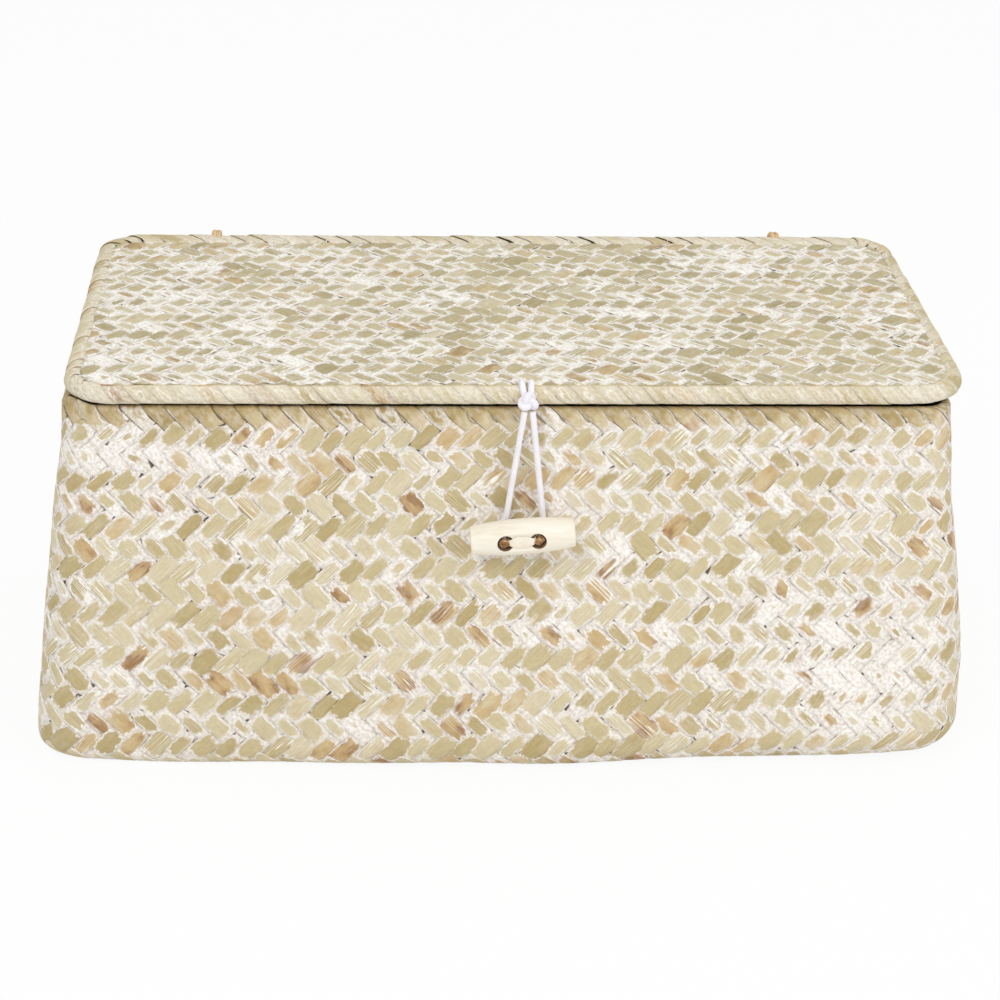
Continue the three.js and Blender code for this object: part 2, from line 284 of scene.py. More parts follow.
# The front wraps are bare on top by the mat's edge: a tan line along the crease, partly bare straw and
# partly painted shade of the crease.
WRAP_TOP_BARE_AND_SHADE = 0.9
WRAP_LAID = (0.1, 1.1)
WRAP_LAID_OUT = (-2.2, -5.2)
WRAP_CORNER_LAID = 0.9

# The same wraps, each value as what it is all round, and what the front, the back and the two ends add.
WRAP_LIFT_SPREAD = (0.04, 0.0, 0.08, 0.06)
WRAP_RAISED = (0.0, 0.0, 0.15, 0.0)
WRAP_RUBBED = (0.85, -0.65, 0.0, 0.0)
WRAP_RUB_SPREAD = (0.2, -0.07, 0.25, 0.0)

# Paint on the front wall and the lid, in mm as centre, half sizes and share: thicker, thinner, and dabs.
# Noise is seed, size of its patches and share.
WALL_PAINT = (
    (-112, 112, 38, 13, 0.2), (126, 36, 32, 32, 0.42), (-5, 60, 24, 20, 0.1), (74, 57, 12, 11, 0.16),
    (-139, 121, 16, 13, 0.24), (-95, 62, 50, 45, -0.1), (0, 4, 170, 9, -0.16), (60, 122, 90, 5, 0.1),
)
LID_PAINT = (
    (-112, 5, 42, 60, 0.12), (-105, -60, 45, 24, 0.14), (-20, -50, 30, 18, 0.1), (115, 0, 40, 60, 0.07),
)
DABS = (
    (-71, 87, 2.3), (-81, 60.5, 2.0), (-133, 93, 1.8), (79, 88.5, 2.4), (38.5, 80.5, 2.6), (98, 63, 2.2),
    (60, 77, 1.8), (-24, 108, 2.0),
)
DAB_SHARE = 1.3
FRONT_Y = -60.0
UNDER_HEM_Z = 124.3
WALL_RUBBED = 0.77
WALL_NOISE = ((21, 46, 0.06), (22, 20, 0.04))
LID_RUBBED = 0.74
LID_NOISE = ((31, 60, 0.08), (32, 22, 0.05))

# Seeds of the strands.
WALL_SEED = 1
LID_SEED = 2
BASE_SEED = 3
HEM_SEED = 41
WRAP_SEED = 51
STRIP_SEED = 61
TUFT_SEED = 71
RAGGED_SEED = 81

# Whitewash on a strand. Noise is its stretch along and across, and its detail. Ranges are low and high, and
# what they become.
FIBRE_NOISE = ((0.14, 3.8, 1.0), 1.0)
COMB_NOISE = ((0.03, 0.8, 1.0), 0.0)
WANDER_NOISE = ((0.33, 0.5, 1.0), 2.0)
MOTTLE_NOISE = ((0.7, 1.0, 1.0), 4.0)
BLOTCH_NOISE = ((0.13, 0.22, 1.0), 2.0)
ZONE_NOISE = ((52.0, 52.0, 52.0), 2.0)
FLOAT_SQUARENESS = 4.0
WANDER = (0.25, 0.75, -0.22, 0.22)
FRAY = (0.25, 0.75, -0.17, 0.17)
SOFT_EDGE = (0.4, 0.65, 0.04, 0.17)
COMB_LINE = (0.012, 0.034, 1.0, 0.0)
BLOTCH_TONE = (0.3, 0.7, -0.08, 0.08)
FIBRE_SHADE = (0.3, 0.7, 0.88, 1.06)
MOTTLE_SHADE = (0.3, 0.7, 0.94, 1.06)
PAINT_LEVEL = (0.2, 0.75, 0.1, 0.0)
RIDGE = (-0.2, -0.05, 0.0, 0.8)
RIDGE_ZONE = (0.42, 0.56, 1.0, 0.15)
LAID = (0.34, 0.56)
LAID_THINNER = 0.3
VEIL = (0.42, 0.62)
VEIL_ZONE = (0.35, 0.6, 0.4, 1.0)
VEIL_BARE = (0.55, 0.8, 1.0, 0.3)
CRACK_SIDE = (0.84, 1.0, 0.0, 0.85)
CRACK_SOFT = 0.06
# Painted shade: dark dots at the corners of floats stand for holes where the strands cross, into the dark
# inside.
CROSSING_SHADE_CORNER = (0.62, 0.76, 0.0, 0.9)
CROSSING_SHADE_WANDER = (0.48, 0.53, 0.0, 1.0)
CROSSING_SHADE_TONE = (0.16, 0.18, 1.0, 0.0)

# Other materials: lengths in mm, and noise as above.
BRAID_PITCH = 1.1
BRAID_THREADS = 8
ELASTIC_NOISE = ((240.0, 240.0, 240.0), 2.0)
GRAIN_NOISE = ((60.0, 900.0, 900.0), 3.0)
BROAD_NOISE = ((25.0, 160.0, 160.0), 2.0)
PATCH_NOISE = ((300.0, 300.0, 300.0), 3.0)
CANE_NOISE = ((140.0, 140.0, 900.0), 3.0)

# Colours, as RRGGBB, and ramps of them.
STRAW = (
    (0.0, "b9a675"), (0.16, "c5b488"), (0.4, "cdbe95"), (0.6, "d4c7a3"), (0.75, "dbcfb1"),
    (0.84, "d2bd94"), (0.93, "c9ad7d"), (0.98, "b8976c"), (1.0, "a17d53"),
)
LID_STRAW = (
    (0.0, "a8996d"), (0.16, "b4a67a"), (0.42, "bcae84"), (0.64, "c4b78f"), (0.82, "d0c39f"),
    (0.9, "c8b588"), (0.97, "bfa675"), (1.0, "a98d5c"),
)
HEM_STRAW = (
    (0.0, "aa935f"), (0.2, "c0ab7d"), (0.45, "cdbb92"), (0.7, "d6c7a3"), (0.88, "d0b795"), (1.0, "c19d74"),
)
PAINT = ((0.28, "c6bcb4"), (0.38, "d9d1ca"), (0.47, "e6dfd9"), (0.57, "f1ece7"), (0.68, "fcfaf7"))
LID_WASH = ((0.28, "cbc2b6"), (0.38, "dfd7cd"), (0.46, "ece5dc"), (0.54, "f7f2ea"), (0.64, "fffdf7"))
WRAP_PAINT = ((0.3, "c6bba1"), (0.45, "d4cab2"), (0.6, "e1d8c5"), (0.72, "f0eadc"))
# The elastic's lavender grey comes partly from random tone and partly as painted shade in the braid's
# grooves.
ELASTIC_WHITE = ((0.0, "dedbe6"), (0.35, "f1eff6"), (0.75, "fbfafc"))
WOOD_TONES = ((0.3, "e8dcc4"), (0.47, "f1e9d8"), (0.7, "f7f2e5"))
CANE_TONES = ((0.3, "7d6238"), (0.5, "a5875a"), (0.7, "b99d6e"))
STRING_TONES = ((0.3, "b08a5a"), (0.5, "d6b68a"), (0.7, "e6cfa8"))
STRIP_TONES = ((0.3, "e4d7bd"), (0.5, "f1e8d6"), (0.7, "f8f2e4"))
TUFT_TONES = ((0.32, "5a3a1e"), (0.46, "946a40"), (0.56, "c6a176"), (0.68, "ecdcc2"))
BRIGHT = "fffcf6"
# Brown of the darker lines along the strands' side edges.
CRACK_BROWN = "7d5f33"
# Painted shade of the holes and gaps between strands.
GAP_SHADE = "46341c"
# Painted shade: brown on the walls of the toggle's holes.
BORE_SHADE_BROWN = "a8825a"

# Stage and light, in m and W. Lamps are name, place, size and power.
FLOOR_HALF = 6.0
FLOOR_Z = -0.0002
FLOOR_GREY = (0.9, 0.9, 0.9, 1)
WHITE = (1, 1, 1, 1)
FLOOR_GLOW = 0.92
WORLD_LIGHT = 0.62
LAMP_AIM = (0, 0, 0.07)
LAMPS = (
    ("key", (-0.9, -1.5, 1.7), 1.2, 14.5), ("fill", (1.3, -1.3, 1.0), 1.4, 10.5),
    ("top", (0.2, 0.3, 2.0), 1.4, 5.2),
)

# Meshes: points round a strand, caps of its ends, margins of the baked picture, and steps.
ACROSS = np.array([-1.0, -0.55, 0.0, 0.55, 1.0, 1.0, 0.0, -1.0])
HEIGHT = np.array([0.3, 0.46, 0.5, 0.46, 0.3, -0.3, -0.5, -0.3])
OUTSIDE = HEIGHT > 0
RING = len(ACROSS)
RING_SHARE = np.array([0.0, 0.15, 0.3, 0.45, 0.6, 0.65, 0.8, 0.95, 1.0])
CAP = np.array([[0, 1, 6, 7], [1, 2, 3, 6], [3, 4, 5, 6]])
CAP_U = np.array([[0, 0, 1, 1], [0, 0, 0, 1], [0, 0, 1, 1]])
CAP_V = RING_SHARE[np.array([[0, 1, 1, 0], [1, 2, 3, 2], [3, 4, 4, 3]])]
CAP_SHARE = 0.004
BLANK = np.array([[0.0, 0.0], [0.001, 0.0], [0.001, 0.001], [0.0, 0.001]])
TIP_SHARE = 0.02
STRAND_APART = 400.0
TUBE_APART = 50.0
STRAND_END_MARGIN = 0.012
STRAND_SIDE_MARGIN = 0.05
TUBE_END_MARGIN = 0.01
TUBE_SIDE_MARGIN = 0.03
STEPS_PER_UNIT = 4
FEWEST_STEPS = 4
HEM_STEPS = 30
WRAP_BEND_STEPS = 14
EDGE_STEPS = 1600
TURN_STEP = 1e-4
CLIMB_STEP = 0.05
FIRST_SIDEWAYS = (0.3, 0.9, 0.2)
UP = (0.0, 0.0, 1.0)


def fade(value, first, last):
    """0 to 1 as a value goes from first to last."""
    return np.clip((value - first) / (last - first), 0, 1)


def within(share, margin):
    """A share of a span, kept a margin away from both of its ends."""
    return margin + (1 - 2 * margin) * share


def smooth_route(points, count):
    """Centripetal Catmull-Rom curve through points, at count even steps of its parameter."""
    p = np.asarray(points, float)
    p = np.vstack([2 * p[0] - p[1], p, 2 * p[-1] - p[-2]])
    spans = len(points) - 1
    place = np.linspace(0, spans, count)
    i = np.minimum(place.astype(int), spans - 1)
    w = (place - i)[:, None]
    a, b, c, d = (p[i + k] for k in range(4))
    s0, s1, s2 = (np.linalg.norm(q, axis=1)[:, None] ** 0.5 for q in (b - a, c - b, d - c))
    t1 = ((b - a) / s0 - (c - a) / (s0 + s1) + (c - b) / s1) * s1
    t2 = ((c - b) / s1 - (d - b) / (s1 + s2) + (d - c) / s2) * s1
    return b + t1 * w + (3 * (c - b) - 2 * t1 - t2) * w ** 2 + (2 * (b - c) + t1 + t2) * w ** 3


def even_route(points, fine, count):
    """Smooth curve through points, at count even steps of its length, which is measured at fine steps."""
    path = smooth_route(points, fine)
    length = lengths_along(path)
    place = np.linspace(0, length[-1], count)
    return np.stack([np.interp(place, length, path[:, k]) for k in range(3)], axis=1)


def lengths_along(path):
    return np.concatenate([[0], np.cumsum(np.linalg.norm(np.diff(path, axis=0), axis=1))])


def waves(rng, places, size, rate):
    """Smooth seeded wander between about -size and size."""
    total = np.zeros_like(places, dtype=float)
    for k in (1, 2, 3):
        total += np.sin(places * rate * k * rng.uniform(*WAVE_VARY) + rng.uniform(0, 2 * np.pi)) / k
    return size * (total / WAVE_HEIGHT)


def patch_noise(points, layers):
    """Smooth seeded noise over space, in layers of seed, size of the patches in mm and share."""
    total = np.zeros(points.shape[:-1])
    for seed, scale, share in layers:
        rng = np.random.default_rng(seed)
        for _ in range(PATCH_WAVES):
            direction = rng.standard_normal(3)
            direction *= 2 * np.pi / (scale * rng.uniform(*PATCH_VARY)) / np.linalg.norm(direction)
            total += share / PATCH_HEIGHT * np.cos(points @ direction + rng.uniform(0, 2 * np.pi))
    return total


def dents_at(turn, dents):
    around = (turn + 0.5) % 1 - 0.5
    return sum(amount * np.exp(-((around - place) / half) ** 2) for place, half, amount in dents)


def link_object(name, data):
    obj = bpy.data.objects.new(name, data)
    bpy.context.scene.collection.objects.link(obj)
    return obj


def mesh_object(name, points, quads, material, uvs, values):
    """Object of four-sided faces. points are in mm, uvs per corner and values per point."""
    mesh = bpy.data.meshes.new(name)
    mesh.vertices.add(len(points))
    mesh.vertices.foreach_set("co", (points * MM).ravel())
    mesh.loops.add(quads.size)
    mesh.loops.foreach_set("vertex_index", quads.ravel().astype(np.int32))
    mesh.polygons.add(len(quads))
    mesh.polygons.foreach_set("loop_start", np.arange(0, quads.size, 4, dtype=np.int32))
    mesh.update(calc_edges=True)
    for uv_name, corners in uvs.items():
        layer = mesh.uv_layers.new(name=uv_name)
        layer.uv.foreach_set("vector", corners.ravel())
    for value_name, per_point in values.items():
        attribute = mesh.attributes.new(value_name, "FLOAT", "POINT")
        attribute.data.foreach_set("value", per_point.astype(float))
    mesh.shade_smooth()
    mesh.materials.append(material)
    return link_object(name, mesh)


def dress(obj, body, node_name):
    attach(obj, body)
    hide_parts(node_name)


# Camera

def make_camera():
    data = bpy.data.cameras.new("camera")
    data.sensor_fit = "HORIZONTAL"
    data.sensor_width = SENSOR
    data.lens = CAMERA_LENS
    data.clip_end = CLIP_END * MM
    camera = link_object("camera", data)
    placed = Matrix.Translation(Vector(CAMERA_SPOT) * MM)
    for angle, axis in ((-CAMERA_YAW, "Z"), (90 - CAMERA_PITCH, "X"), (CAMERA_ROLL, "Z")):
        placed = placed @ Matrix.Rotation(math.radians(angle), 4, axis)
    camera.matrix_world = placed
    bpy.context.scene.camera = camera


make_camera()


# Materials

class Value:
    """Output of a shader node. Its sums, products and ranges are nodes of the same tree."""

    def __init__(self, socket):
        self.socket = socket
        self.tree = socket.id_data

    def maths(self, operation, *others):
        return Value(node(self.tree, "Math", enumerate((self, *others)), operation=operation).outputs[0])

    def __add__(self, other):
        return self.maths("ADD", other)

    def __sub__(self, other):
        return self.maths("SUBTRACT", other)

    def __mul__(self, other):
        return self.maths("MULTIPLY", other)

    def __pow__(self, other):
        return self.maths("POWER", other)

    def __abs__(self):
        return self.maths("ABSOLUTE")

    def most(self, other):
        return self.maths("MAXIMUM", other)

    def rest(self):
        """What it leaves of 1."""
        return Value(node(self.tree, "Math", enumerate((1.0, self)), operation="SUBTRACT").outputs[0])

    def ranged(self, low, high, first, last):
        """first to last as it goes from low to high, and no further."""
        return Value(node(self.tree, "MapRange", enumerate((self, low, high, first, last))).outputs[0])


def feed(socket, value):
    if isinstance(value, Value):
        value.tree.links.new(value.socket, socket)
    else:
        socket.default_value = value


def node(tree, kind, inputs=(), **settings):
    """New node. inputs are pairs of an input's name or number and its value."""
    made = tree.nodes.new("ShaderNode" + kind)
    for key, value in settings.items():
        setattr(made, key, value)
    for key, value in inputs:
        feed(made.inputs[key], value)
    return made


def point_value(tree, name):
    return Value(node(tree, "Attribute", attribute_name=name, attribute_type="GEOMETRY").outputs["Fac"])


def strand_place(tree):
    return Value(node(tree, "UVMap", uv_map="strand").outputs["UV"])


def object_place(tree):
    return Value(node(tree, "TexCoord").outputs["Object"])


def noise_at(place, stretch, detail):
    scaled = node(place.tree, "VectorMath", enumerate((place, stretch)), operation="MULTIPLY")
    inputs = (("Vector", Value(scaled.outputs[0])), ("Scale", 1.0), ("Detail", detail))
    return Value(node(place.tree, "TexNoise", inputs).outputs["Fac"])


def linear(colour):
    """Linear values of a colour written as RRGGBB, and 1 for its alpha."""
    parts = [int(colour[k:k + 2], 16) / 255 for k in (0, 2, 4)]
    return *(c / 12.92 if c < 0.04045 else ((c + 0.055) / 1.055) ** 2.4 for c in parts), 1


def ramp_of(value, stops):
    made = node(value.tree, "ValToRGB", [("Fac", value)])
    elements = made.color_ramp.elements
    while len(elements) < len(stops):
        elements.new(0.5)
    for element, (place, colour) in zip(elements, stops):
        element.position = place
        element.color = linear(colour)
    return Value(made.outputs["Color"])


def mixed(share, low, high):
    return Value(node(share.tree, "Mix", ((0, share), (6, low), (7, high)), data_type="RGBA").outputs[2])


def new_material(name):
    material = bpy.data.materials.new(name)
    material.use_nodes = True
    return material, material.node_tree, material.node_tree.nodes["Principled BSDF"]


def put(shader, **inputs):
    for key, value in inputs.items():
        feed(shader.inputs[key.replace("_", " ")], value)


def bump(height, strength, distance):
    inputs = (("Height", height), ("Strength", strength), ("Distance", distance * MM))
    return Value(node(height.tree, "Bump", inputs).outputs["Normal"])


def strand_material(name, straw, paint, opacity, veil, cracks, crack_colour=CRACK_BROWN):
    """Plant-fibre strand under whitewash, which is rubbed off the middle of each float.

    The rubbed value of a point is the share of the float, out from its middle, that is rubbed off.
    """
    material, tree, shader = new_material(name)
    noises = (FIBRE_NOISE, COMB_NOISE, WANDER_NOISE, MOTTLE_NOISE, BLOTCH_NOISE)
    fibre, comb, wander, mottle, blotch = (noise_at(strand_place(tree), *noise) for noise in noises)
    zone = noise_at(object_place(tree), *ZONE_NOISE)
    rubbed = point_value(tree, "bare")
    tone = point_value(tree, "tone")
    side = abs(point_value(tree, "across"))
    end = point_value(tree, "edge").rest().most(0.0)
    reach = (side ** FLOAT_SQUARENESS + end ** FLOAT_SQUARENESS) ** (1 / FLOAT_SQUARENESS)
    worn = rubbed - reach + wander.ranged(*WANDER) + fibre.ranged(*FRAY) * end
    soft = zone.ranged(*SOFT_EDGE)
    line = abs(comb - 0.5).ranged(*COMB_LINE) * point_value(tree, "comb")
    bare = worn.ranged(soft * -1.0, soft, 0.0, 1.0) * line.rest()
    shade = fibre.ranged(*FIBRE_SHADE) * mottle.ranged(*MOTTLE_SHADE)
    tint = ramp_of(tone + blotch.ranged(*BLOTCH_TONE), straw)
    tint = Value(node(tree, "VectorMath", ((0, tint), ("Scale", shade)), operation="SCALE").outputs[0])
    wash = ramp_of(mottle * 0.6 + zone * 0.4 + rubbed.ranged(*PAINT_LEVEL), paint)
    ridge = worn.ranged(*RIDGE) * zone.ranged(*RIDGE_ZONE)
    wash = mixed(ridge.most(line), wash, linear(BRIGHT))
    cover = bare.rest() * mottle.ranged(*LAID, opacity - LAID_THINNER, opacity)
    thin = wander.ranged(*VEIL, 0.0, veil) * zone.ranged(*VEIL_ZONE) * rubbed.ranged(*VEIL_BARE)
    cover = cover.most(thin)
    # Darker lines along the strands' side edges. On the hem they are painted shade of the gaps between its
    # folds.
    crack = side.ranged(*CRACK_SIDE) * blotch.ranged(cracks, cracks + CRACK_SOFT, 0.0, 1.0)
    colour = mixed(crack, mixed(cover, tint, wash), linear(crack_colour))
    # Painted shade: dark dots at float corners, where the strands cross, stand for holes into the dark
    # inside.
    crossing_shade = (side * end).ranged(*CROSSING_SHADE_CORNER) * wander.ranged(*CROSSING_SHADE_WANDER) * tone.ranged(*CROSSING_SHADE_TONE)
    colour = mixed(crossing_shade, colour, linear(GAP_SHADE))
    put(
        shader, Base_Color=colour, Specular_IOR_Level=0.3, Roughness=cover * 0.22 + 0.56,
        Normal=bump(fibre + cover * 0.7, 0.5, 0.12),
    )
    return material


def elastic_material():
    """White braided elastic: two sets of fine crossing threads."""
    material, tree, shader = new_material("elastic")
    parts = node(tree, "SeparateXYZ", [(0, strand_place(tree))]).outputs
    along = Value(parts[0]) * (2 * math.pi / BRAID_PITCH)
    around = Value(parts[1]) * (2 * math.pi * BRAID_THREADS)
    braid = (along + around).maths("SINE").most((along - around).maths("SINE"))
    tone = noise_at(object_place(tree), *ELASTIC_NOISE)
    # The colour darkens to lavender grey into the grooves between the threads: painted shade.
    put(
        shader, Base_Color=ramp_of(braid * 0.22 + tone * 0.7, ELASTIC_WHITE), Roughness=0.75,
        Specular_IOR_Level=0.25, Sheen_Weight=0.25, Normal=bump(braid, 0.45, 0.09),
    )
    return material


def wood_material():
    """Pale turned wood with faint grain along the toggle."""
    material, tree, shader = new_material("toggle_wood")
    grain, broad = (noise_at(object_place(tree), *noise) for noise in (GRAIN_NOISE, BROAD_NOISE))
    # The walls of the two holes are browned: painted shade inside the holes.
    stain = point_value(tree, "stain") * (grain + 0.35)
    put(
        shader, Base_Color=mixed(stain, ramp_of(grain * 0.55 + broad * 0.45, WOOD_TONES), linear(BORE_SHADE_BROWN)),
        Specular_IOR_Level=0.4, Roughness=grain.ranged(0.3, 0.7, 0.5, 0.38), Normal=bump(grain, 0.18, 0.08),
    )
    return material


def fibre_material(name, stops, stretch):
    """Twisted or flat plant fibre, streaked along its own length."""
    material, tree, shader = new_material(name)
    streak = noise_at(strand_place(tree), stretch, 3.0)
    patch = noise_at(object_place(tree), *PATCH_NOISE)
    put(
        shader, Base_Color=ramp_of(streak * 0.7 + patch * 0.3, stops), Specular_IOR_Level=0.25,
        Roughness=streak.ranged(0.3, 0.7, 0.8, 0.62), Normal=bump(streak, 0.6, 0.15),
    )
    return material


def cane_material():
    """Split cane of the hidden hoops."""
    material, tree, shader = new_material("cane")
    streak = noise_at(object_place(tree), *CANE_NOISE)
    put(
        shader, Base_Color=ramp_of(streak, CANE_TONES), Specular_IOR_Level=0.35,
        Roughness=streak.ranged(0.3, 0.7, 0.65, 0.5), Normal=bump(streak, 0.4, 0.15),
    )
    return material


WEAVE = strand_material("washed_strand", STRAW, PAINT, opacity=0.96, veil=0.2, cracks=0.62)
LID_WEAVE = strand_material("washed_lid_strand", LID_STRAW, LID_WASH, opacity=0.98, veil=0.4, cracks=0.58)
# The hem's cracks are painted shade: dark lines in the gaps between its folds.
HEM = strand_material("hem_strand", HEM_STRAW, PAINT, opacity=0.75, veil=1.0, cracks=0.46, crack_colour=GAP_SHADE)
WRAP = strand_material("lid_wrap_strand", STRAW, WRAP_PAINT, opacity=0.85, veil=0.6, cracks=0.58)
ELASTIC = elastic_material()
WOOD = wood_material()
STRING = fibre_material("tie_string", STRING_TONES, stretch=(0.5, 6.0, 1.0))
STRIP = fibre_material("toggle_strip", STRIP_TONES, stretch=(0.2, 3.5, 1.0))
TUFT = fibre_material("toggle_tuft", TUFT_TONES, stretch=(0.4, 5.0, 1.0))
CANE = cane_material()


# Tubes and the elastic cord

def tube_rings(path, radius, sides):
    """Rings round a path. The normals that they start from are carried along it without twist."""
    tangent = np.gradient(path, axis=0)
    tangent /= np.linalg.norm(tangent, axis=1)[:, None]
    first = np.cross(tangent[0], FIRST_SIDEWAYS)
    normals = [first / np.linalg.norm(first)]
    for t in tangent[1:]:
        n = normals[-1] - t * (normals[-1] @ t)
        normals.append(n / np.linalg.norm(n))
    one = np.array(normals)
    two = np.cross(tangent, one)
    angle = np.linspace(0, 2 * np.pi, sides, endpoint=False)
    spread = np.cos(angle)[None, :, None] * one[:, None] + np.sin(angle)[None, :, None] * two[:, None]
    return path[:, None] + radius * spread


def grid_quads(rows, columns, closed=False):
    """Faces of a grid whose columns close up, and whose rows can, and the row and column of each corner."""
    row, column = np.meshgrid(np.arange(rows if closed else rows - 1), np.arange(columns), indexing="ij")
    corner_row = np.stack([row, row, row + 1, row + 1], axis=-1).reshape(-1, 4)
    corner_column = np.stack([column, column + 1, column + 1, column], axis=-1).reshape(-1, 4)
    return corner_row % rows * columns + corner_column % columns, corner_row, corner_column


def end_faces(rows, sides):
    """Flat end faces of an open tube with an even number of sides."""
    last = (rows - 1) * sides
    rings = [(k, k - 1, sides - k, sides - k - 1) for k in range(1, sides // 2)]
    return np.array([face for ring in rings for face in (ring, [last + r for r in reversed(ring)])])


def tube_object(name, tubes, material, closed=False):
    """Object of tubes. Each is an array of rings in mm, with an even number of points."""
    points, faces, ends, strand_uv, bake_uv = [], [], [], [], []
    start = 0
    for index, rings in enumerate(tubes):
        sides = rings.shape[1]
        if not closed:
            middles = rings.mean(axis=1, keepdims=True)
            tips = middles + TIP_SHARE * (rings - middles)
            rings = np.concatenate([tips[:1], rings, tips[-1:]])
            ends.append(end_faces(len(rings), sides) + start)
        quads, corner_row, corner_column = grid_quads(len(rings), sides, closed)
        place = lengths_along(rings.mean(axis=1))
        place = np.append(place, 2 * place[-1] - place[-2])
        along = place[corner_row]
        around = corner_column / sides
        points.append(rings.reshape(-1, 3))
        faces.append(quads + start)
        strand_uv.append(np.stack([along + TUBE_APART * index, around], axis=-1))
        band = (index + within(around, TUBE_SIDE_MARGIN)) / len(tubes)
        bake_uv.append(np.stack([within(along / place[-1], TUBE_END_MARGIN), band], axis=-1))
        start += len(points[-1])
    if ends:
        faces += ends
        blank = np.broadcast_to(BLANK, (sum(len(end) for end in ends), *BLANK.shape))
        strand_uv.append(blank)
        bake_uv.append(blank)
    uvs = {"strand": np.concatenate(strand_uv), "OFBake": np.concatenate(bake_uv)}
    return mesh_object(name, np.concatenate(points), np.concatenate(faces), material, uvs, {})


loop_path = even_route(LOOP_ROUTE, fine=700, count=150)
elastic_loop = tube_object("elastic_loop_cord", [tube_rings(loop_path, CORD_R, sides=16)], ELASTIC)
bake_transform(elastic_loop)
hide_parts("elastic_loop")


# Surfaces that the strands follow

def rounded_outline(turn, half_w, half_d, radius, bow=0.0):
    """Point at a share of the way round a rounded rectangle, anticlockwise from the middle of the front."""
    side_w = half_w - radius
    side_d = half_d - radius
    quarter = 0.5 * np.pi * radius
    half_way = 2 * (side_w + side_d + quarter)
    place = (turn % 1.0) * 2 * half_way
    sign = np.where(place >= half_way, -1.0, 1.0)
    place = place % half_way
    ends = [side_w, side_w + quarter, side_w + quarter + 2 * side_d, side_w + 2 * quarter + 2 * side_d]
    arc_front = (place - ends[0]) / radius
    arc_back = (place - ends[2]) / radius
    up = place - ends[1] - side_d
    left = side_w - (place - ends[3])
    cases = [place < end for end in ends]
    x = np.select(cases, [
        place, side_w + radius * np.sin(arc_front),
        half_w + bow * half_d / half_w * (1 - (up / side_d) ** 2), side_w + radius * np.cos(arc_back),
    ], left)
    y = np.select(cases, [
        -half_d - bow * (1 - (place / side_w) ** 2), -side_d - radius * np.cos(arc_front),
        up, side_d + radius * np.sin(arc_back),
    ], half_d + bow * (1 - (left / side_w) ** 2))
    return x * sign, y * sign


def wall_points(turn, climb):
    """Outside of the body.

    climb is z on the wall. It goes on under the base, and over the rim to the inside.
    """
    edge_r = BASE_EDGE_R + BASE_EDGE_VARY * np.sin(2 * np.pi * turn)
    angle = np.clip((edge_r - climb) / edge_r, 0, np.pi / 2)
    under = np.maximum(edge_r - climb - edge_r * np.pi / 2, 0)
    fold = np.clip((climb - FOLD_Z) / FOLD_R, 0, np.pi)
    inside = np.maximum(climb - FOLD_Z - FOLD_R * np.pi, 0)
    z = np.where(climb < edge_r, edge_r * (1 - np.sin(angle)), np.minimum(climb, FOLD_Z))
    z = z + FOLD_R * np.sin(fold) - inside
    inset = edge_r * (1 - np.cos(angle)) + under + FOLD_R * (1 - np.cos(fold))
    swell = np.sin(fade(z, RIM_TOP, 0) * np.pi / 2) ** SWELL_POWER
    half_w = RIM_HALF_W + SWELL_W * swell - inset
    half_d = RIM_HALF_D + SWELL_D * swell - inset
    radius = RIM_CORNER_R + (BASE_CORNER_R - RIM_CORNER_R) * swell
    radius = np.maximum(radius - inset, LEAST_CORNER_R)
    x, y = rounded_outline(turn, half_w, half_d, radius, SWELL_BOW * swell ** 2)
    corner = fade(-x, half_w - radius, half_w) * fade(np.abs(y), half_d - radius, half_d)
    near_rim = fade(climb, *NEAR_RIM_Z)
    peak = CORNER_PEAK * 2 * corner * near_rim * (1 - (fold / np.pi) ** 2)
    drop = FOLD_DROP * near_rim * fade(x, *FOLD_DROP_X)
    return np.stack([x, y, z + peak - drop], axis=-1)


def wall_normals(turn, climb):
    across = wall_points(turn + TURN_STEP, climb) - wall_points(turn - TURN_STEP, climb)
    upward = wall_points(turn, climb + CLIMB_STEP) - wall_points(turn, climb - CLIMB_STEP)
    normal = np.cross(across, upward)
    return normal / np.linalg.norm(normal, axis=-1, keepdims=True)


def wall_surface(c, r):
    turn = c / (2 * COLUMNS)
    down = np.maximum(TOP_ROW_UNIT - r, 0)
    rows = np.maximum(r - TOP_ROW_UNIT, 0) - down * (TOP_ROW_SHARE + ROW_GROWTH * down)
    climb = TOP_ROW_Z + ROW / 2 * rows
    loose = fade(climb, *LOOSE_Z)
    climb = climb + loose * sum(size * np.sin(2 * np.pi * turn * n + phase) for size, n, phase in ROW_WAVES)
    points = wall_points(turn, climb)
    normal = wall_normals(turn, climb)
    wave = sum(size * np.sin(points @ np.array(rates)) for size, rates in WALL_WAVES)
    sag = dents_at(turn, FOOT_DENTS) * np.exp(-(climb / DENT_HEIGHT) ** 2)
    sideways = normal * (1, 1, 0)
    return points + normal * (loose * wave - WALL_INSET)[..., None] + sideways * sag[..., None], normal


def above_floor(points):
    """Points pressed flat where they would sink below the floor."""
    z = points[..., 2]
    pressed = FLOOR_SOFT * np.exp(np.minimum(z / FLOOR_SOFT - 1, 0))
    return np.concatenate([points[..., :2], np.where(z < FLOOR_SOFT, pressed, z)[..., None]], axis=-1)


def beyond(x, y, half_w, half_d, radius):
    """Distance in mm outside a rounded rectangle, less than zero within it."""
    over_x = np.abs(x) - half_w + radius
    over_y = np.abs(y) - half_d + radius
    corner = np.hypot(np.maximum(over_x, 0), np.maximum(over_y, 0))
    return corner + np.minimum(np.maximum(over_x, over_y), 0) - radius


def mat_wave(x, y):
    return np.sin(x * MAT_WAVE_RATES[0] + 1.0) * np.sin(y * MAT_WAVE_RATES[1])


def flat_surface(x, y, height):
    return np.stack([x, y, height], axis=-1), np.broadcast_to(UP, (*x.shape, 3))


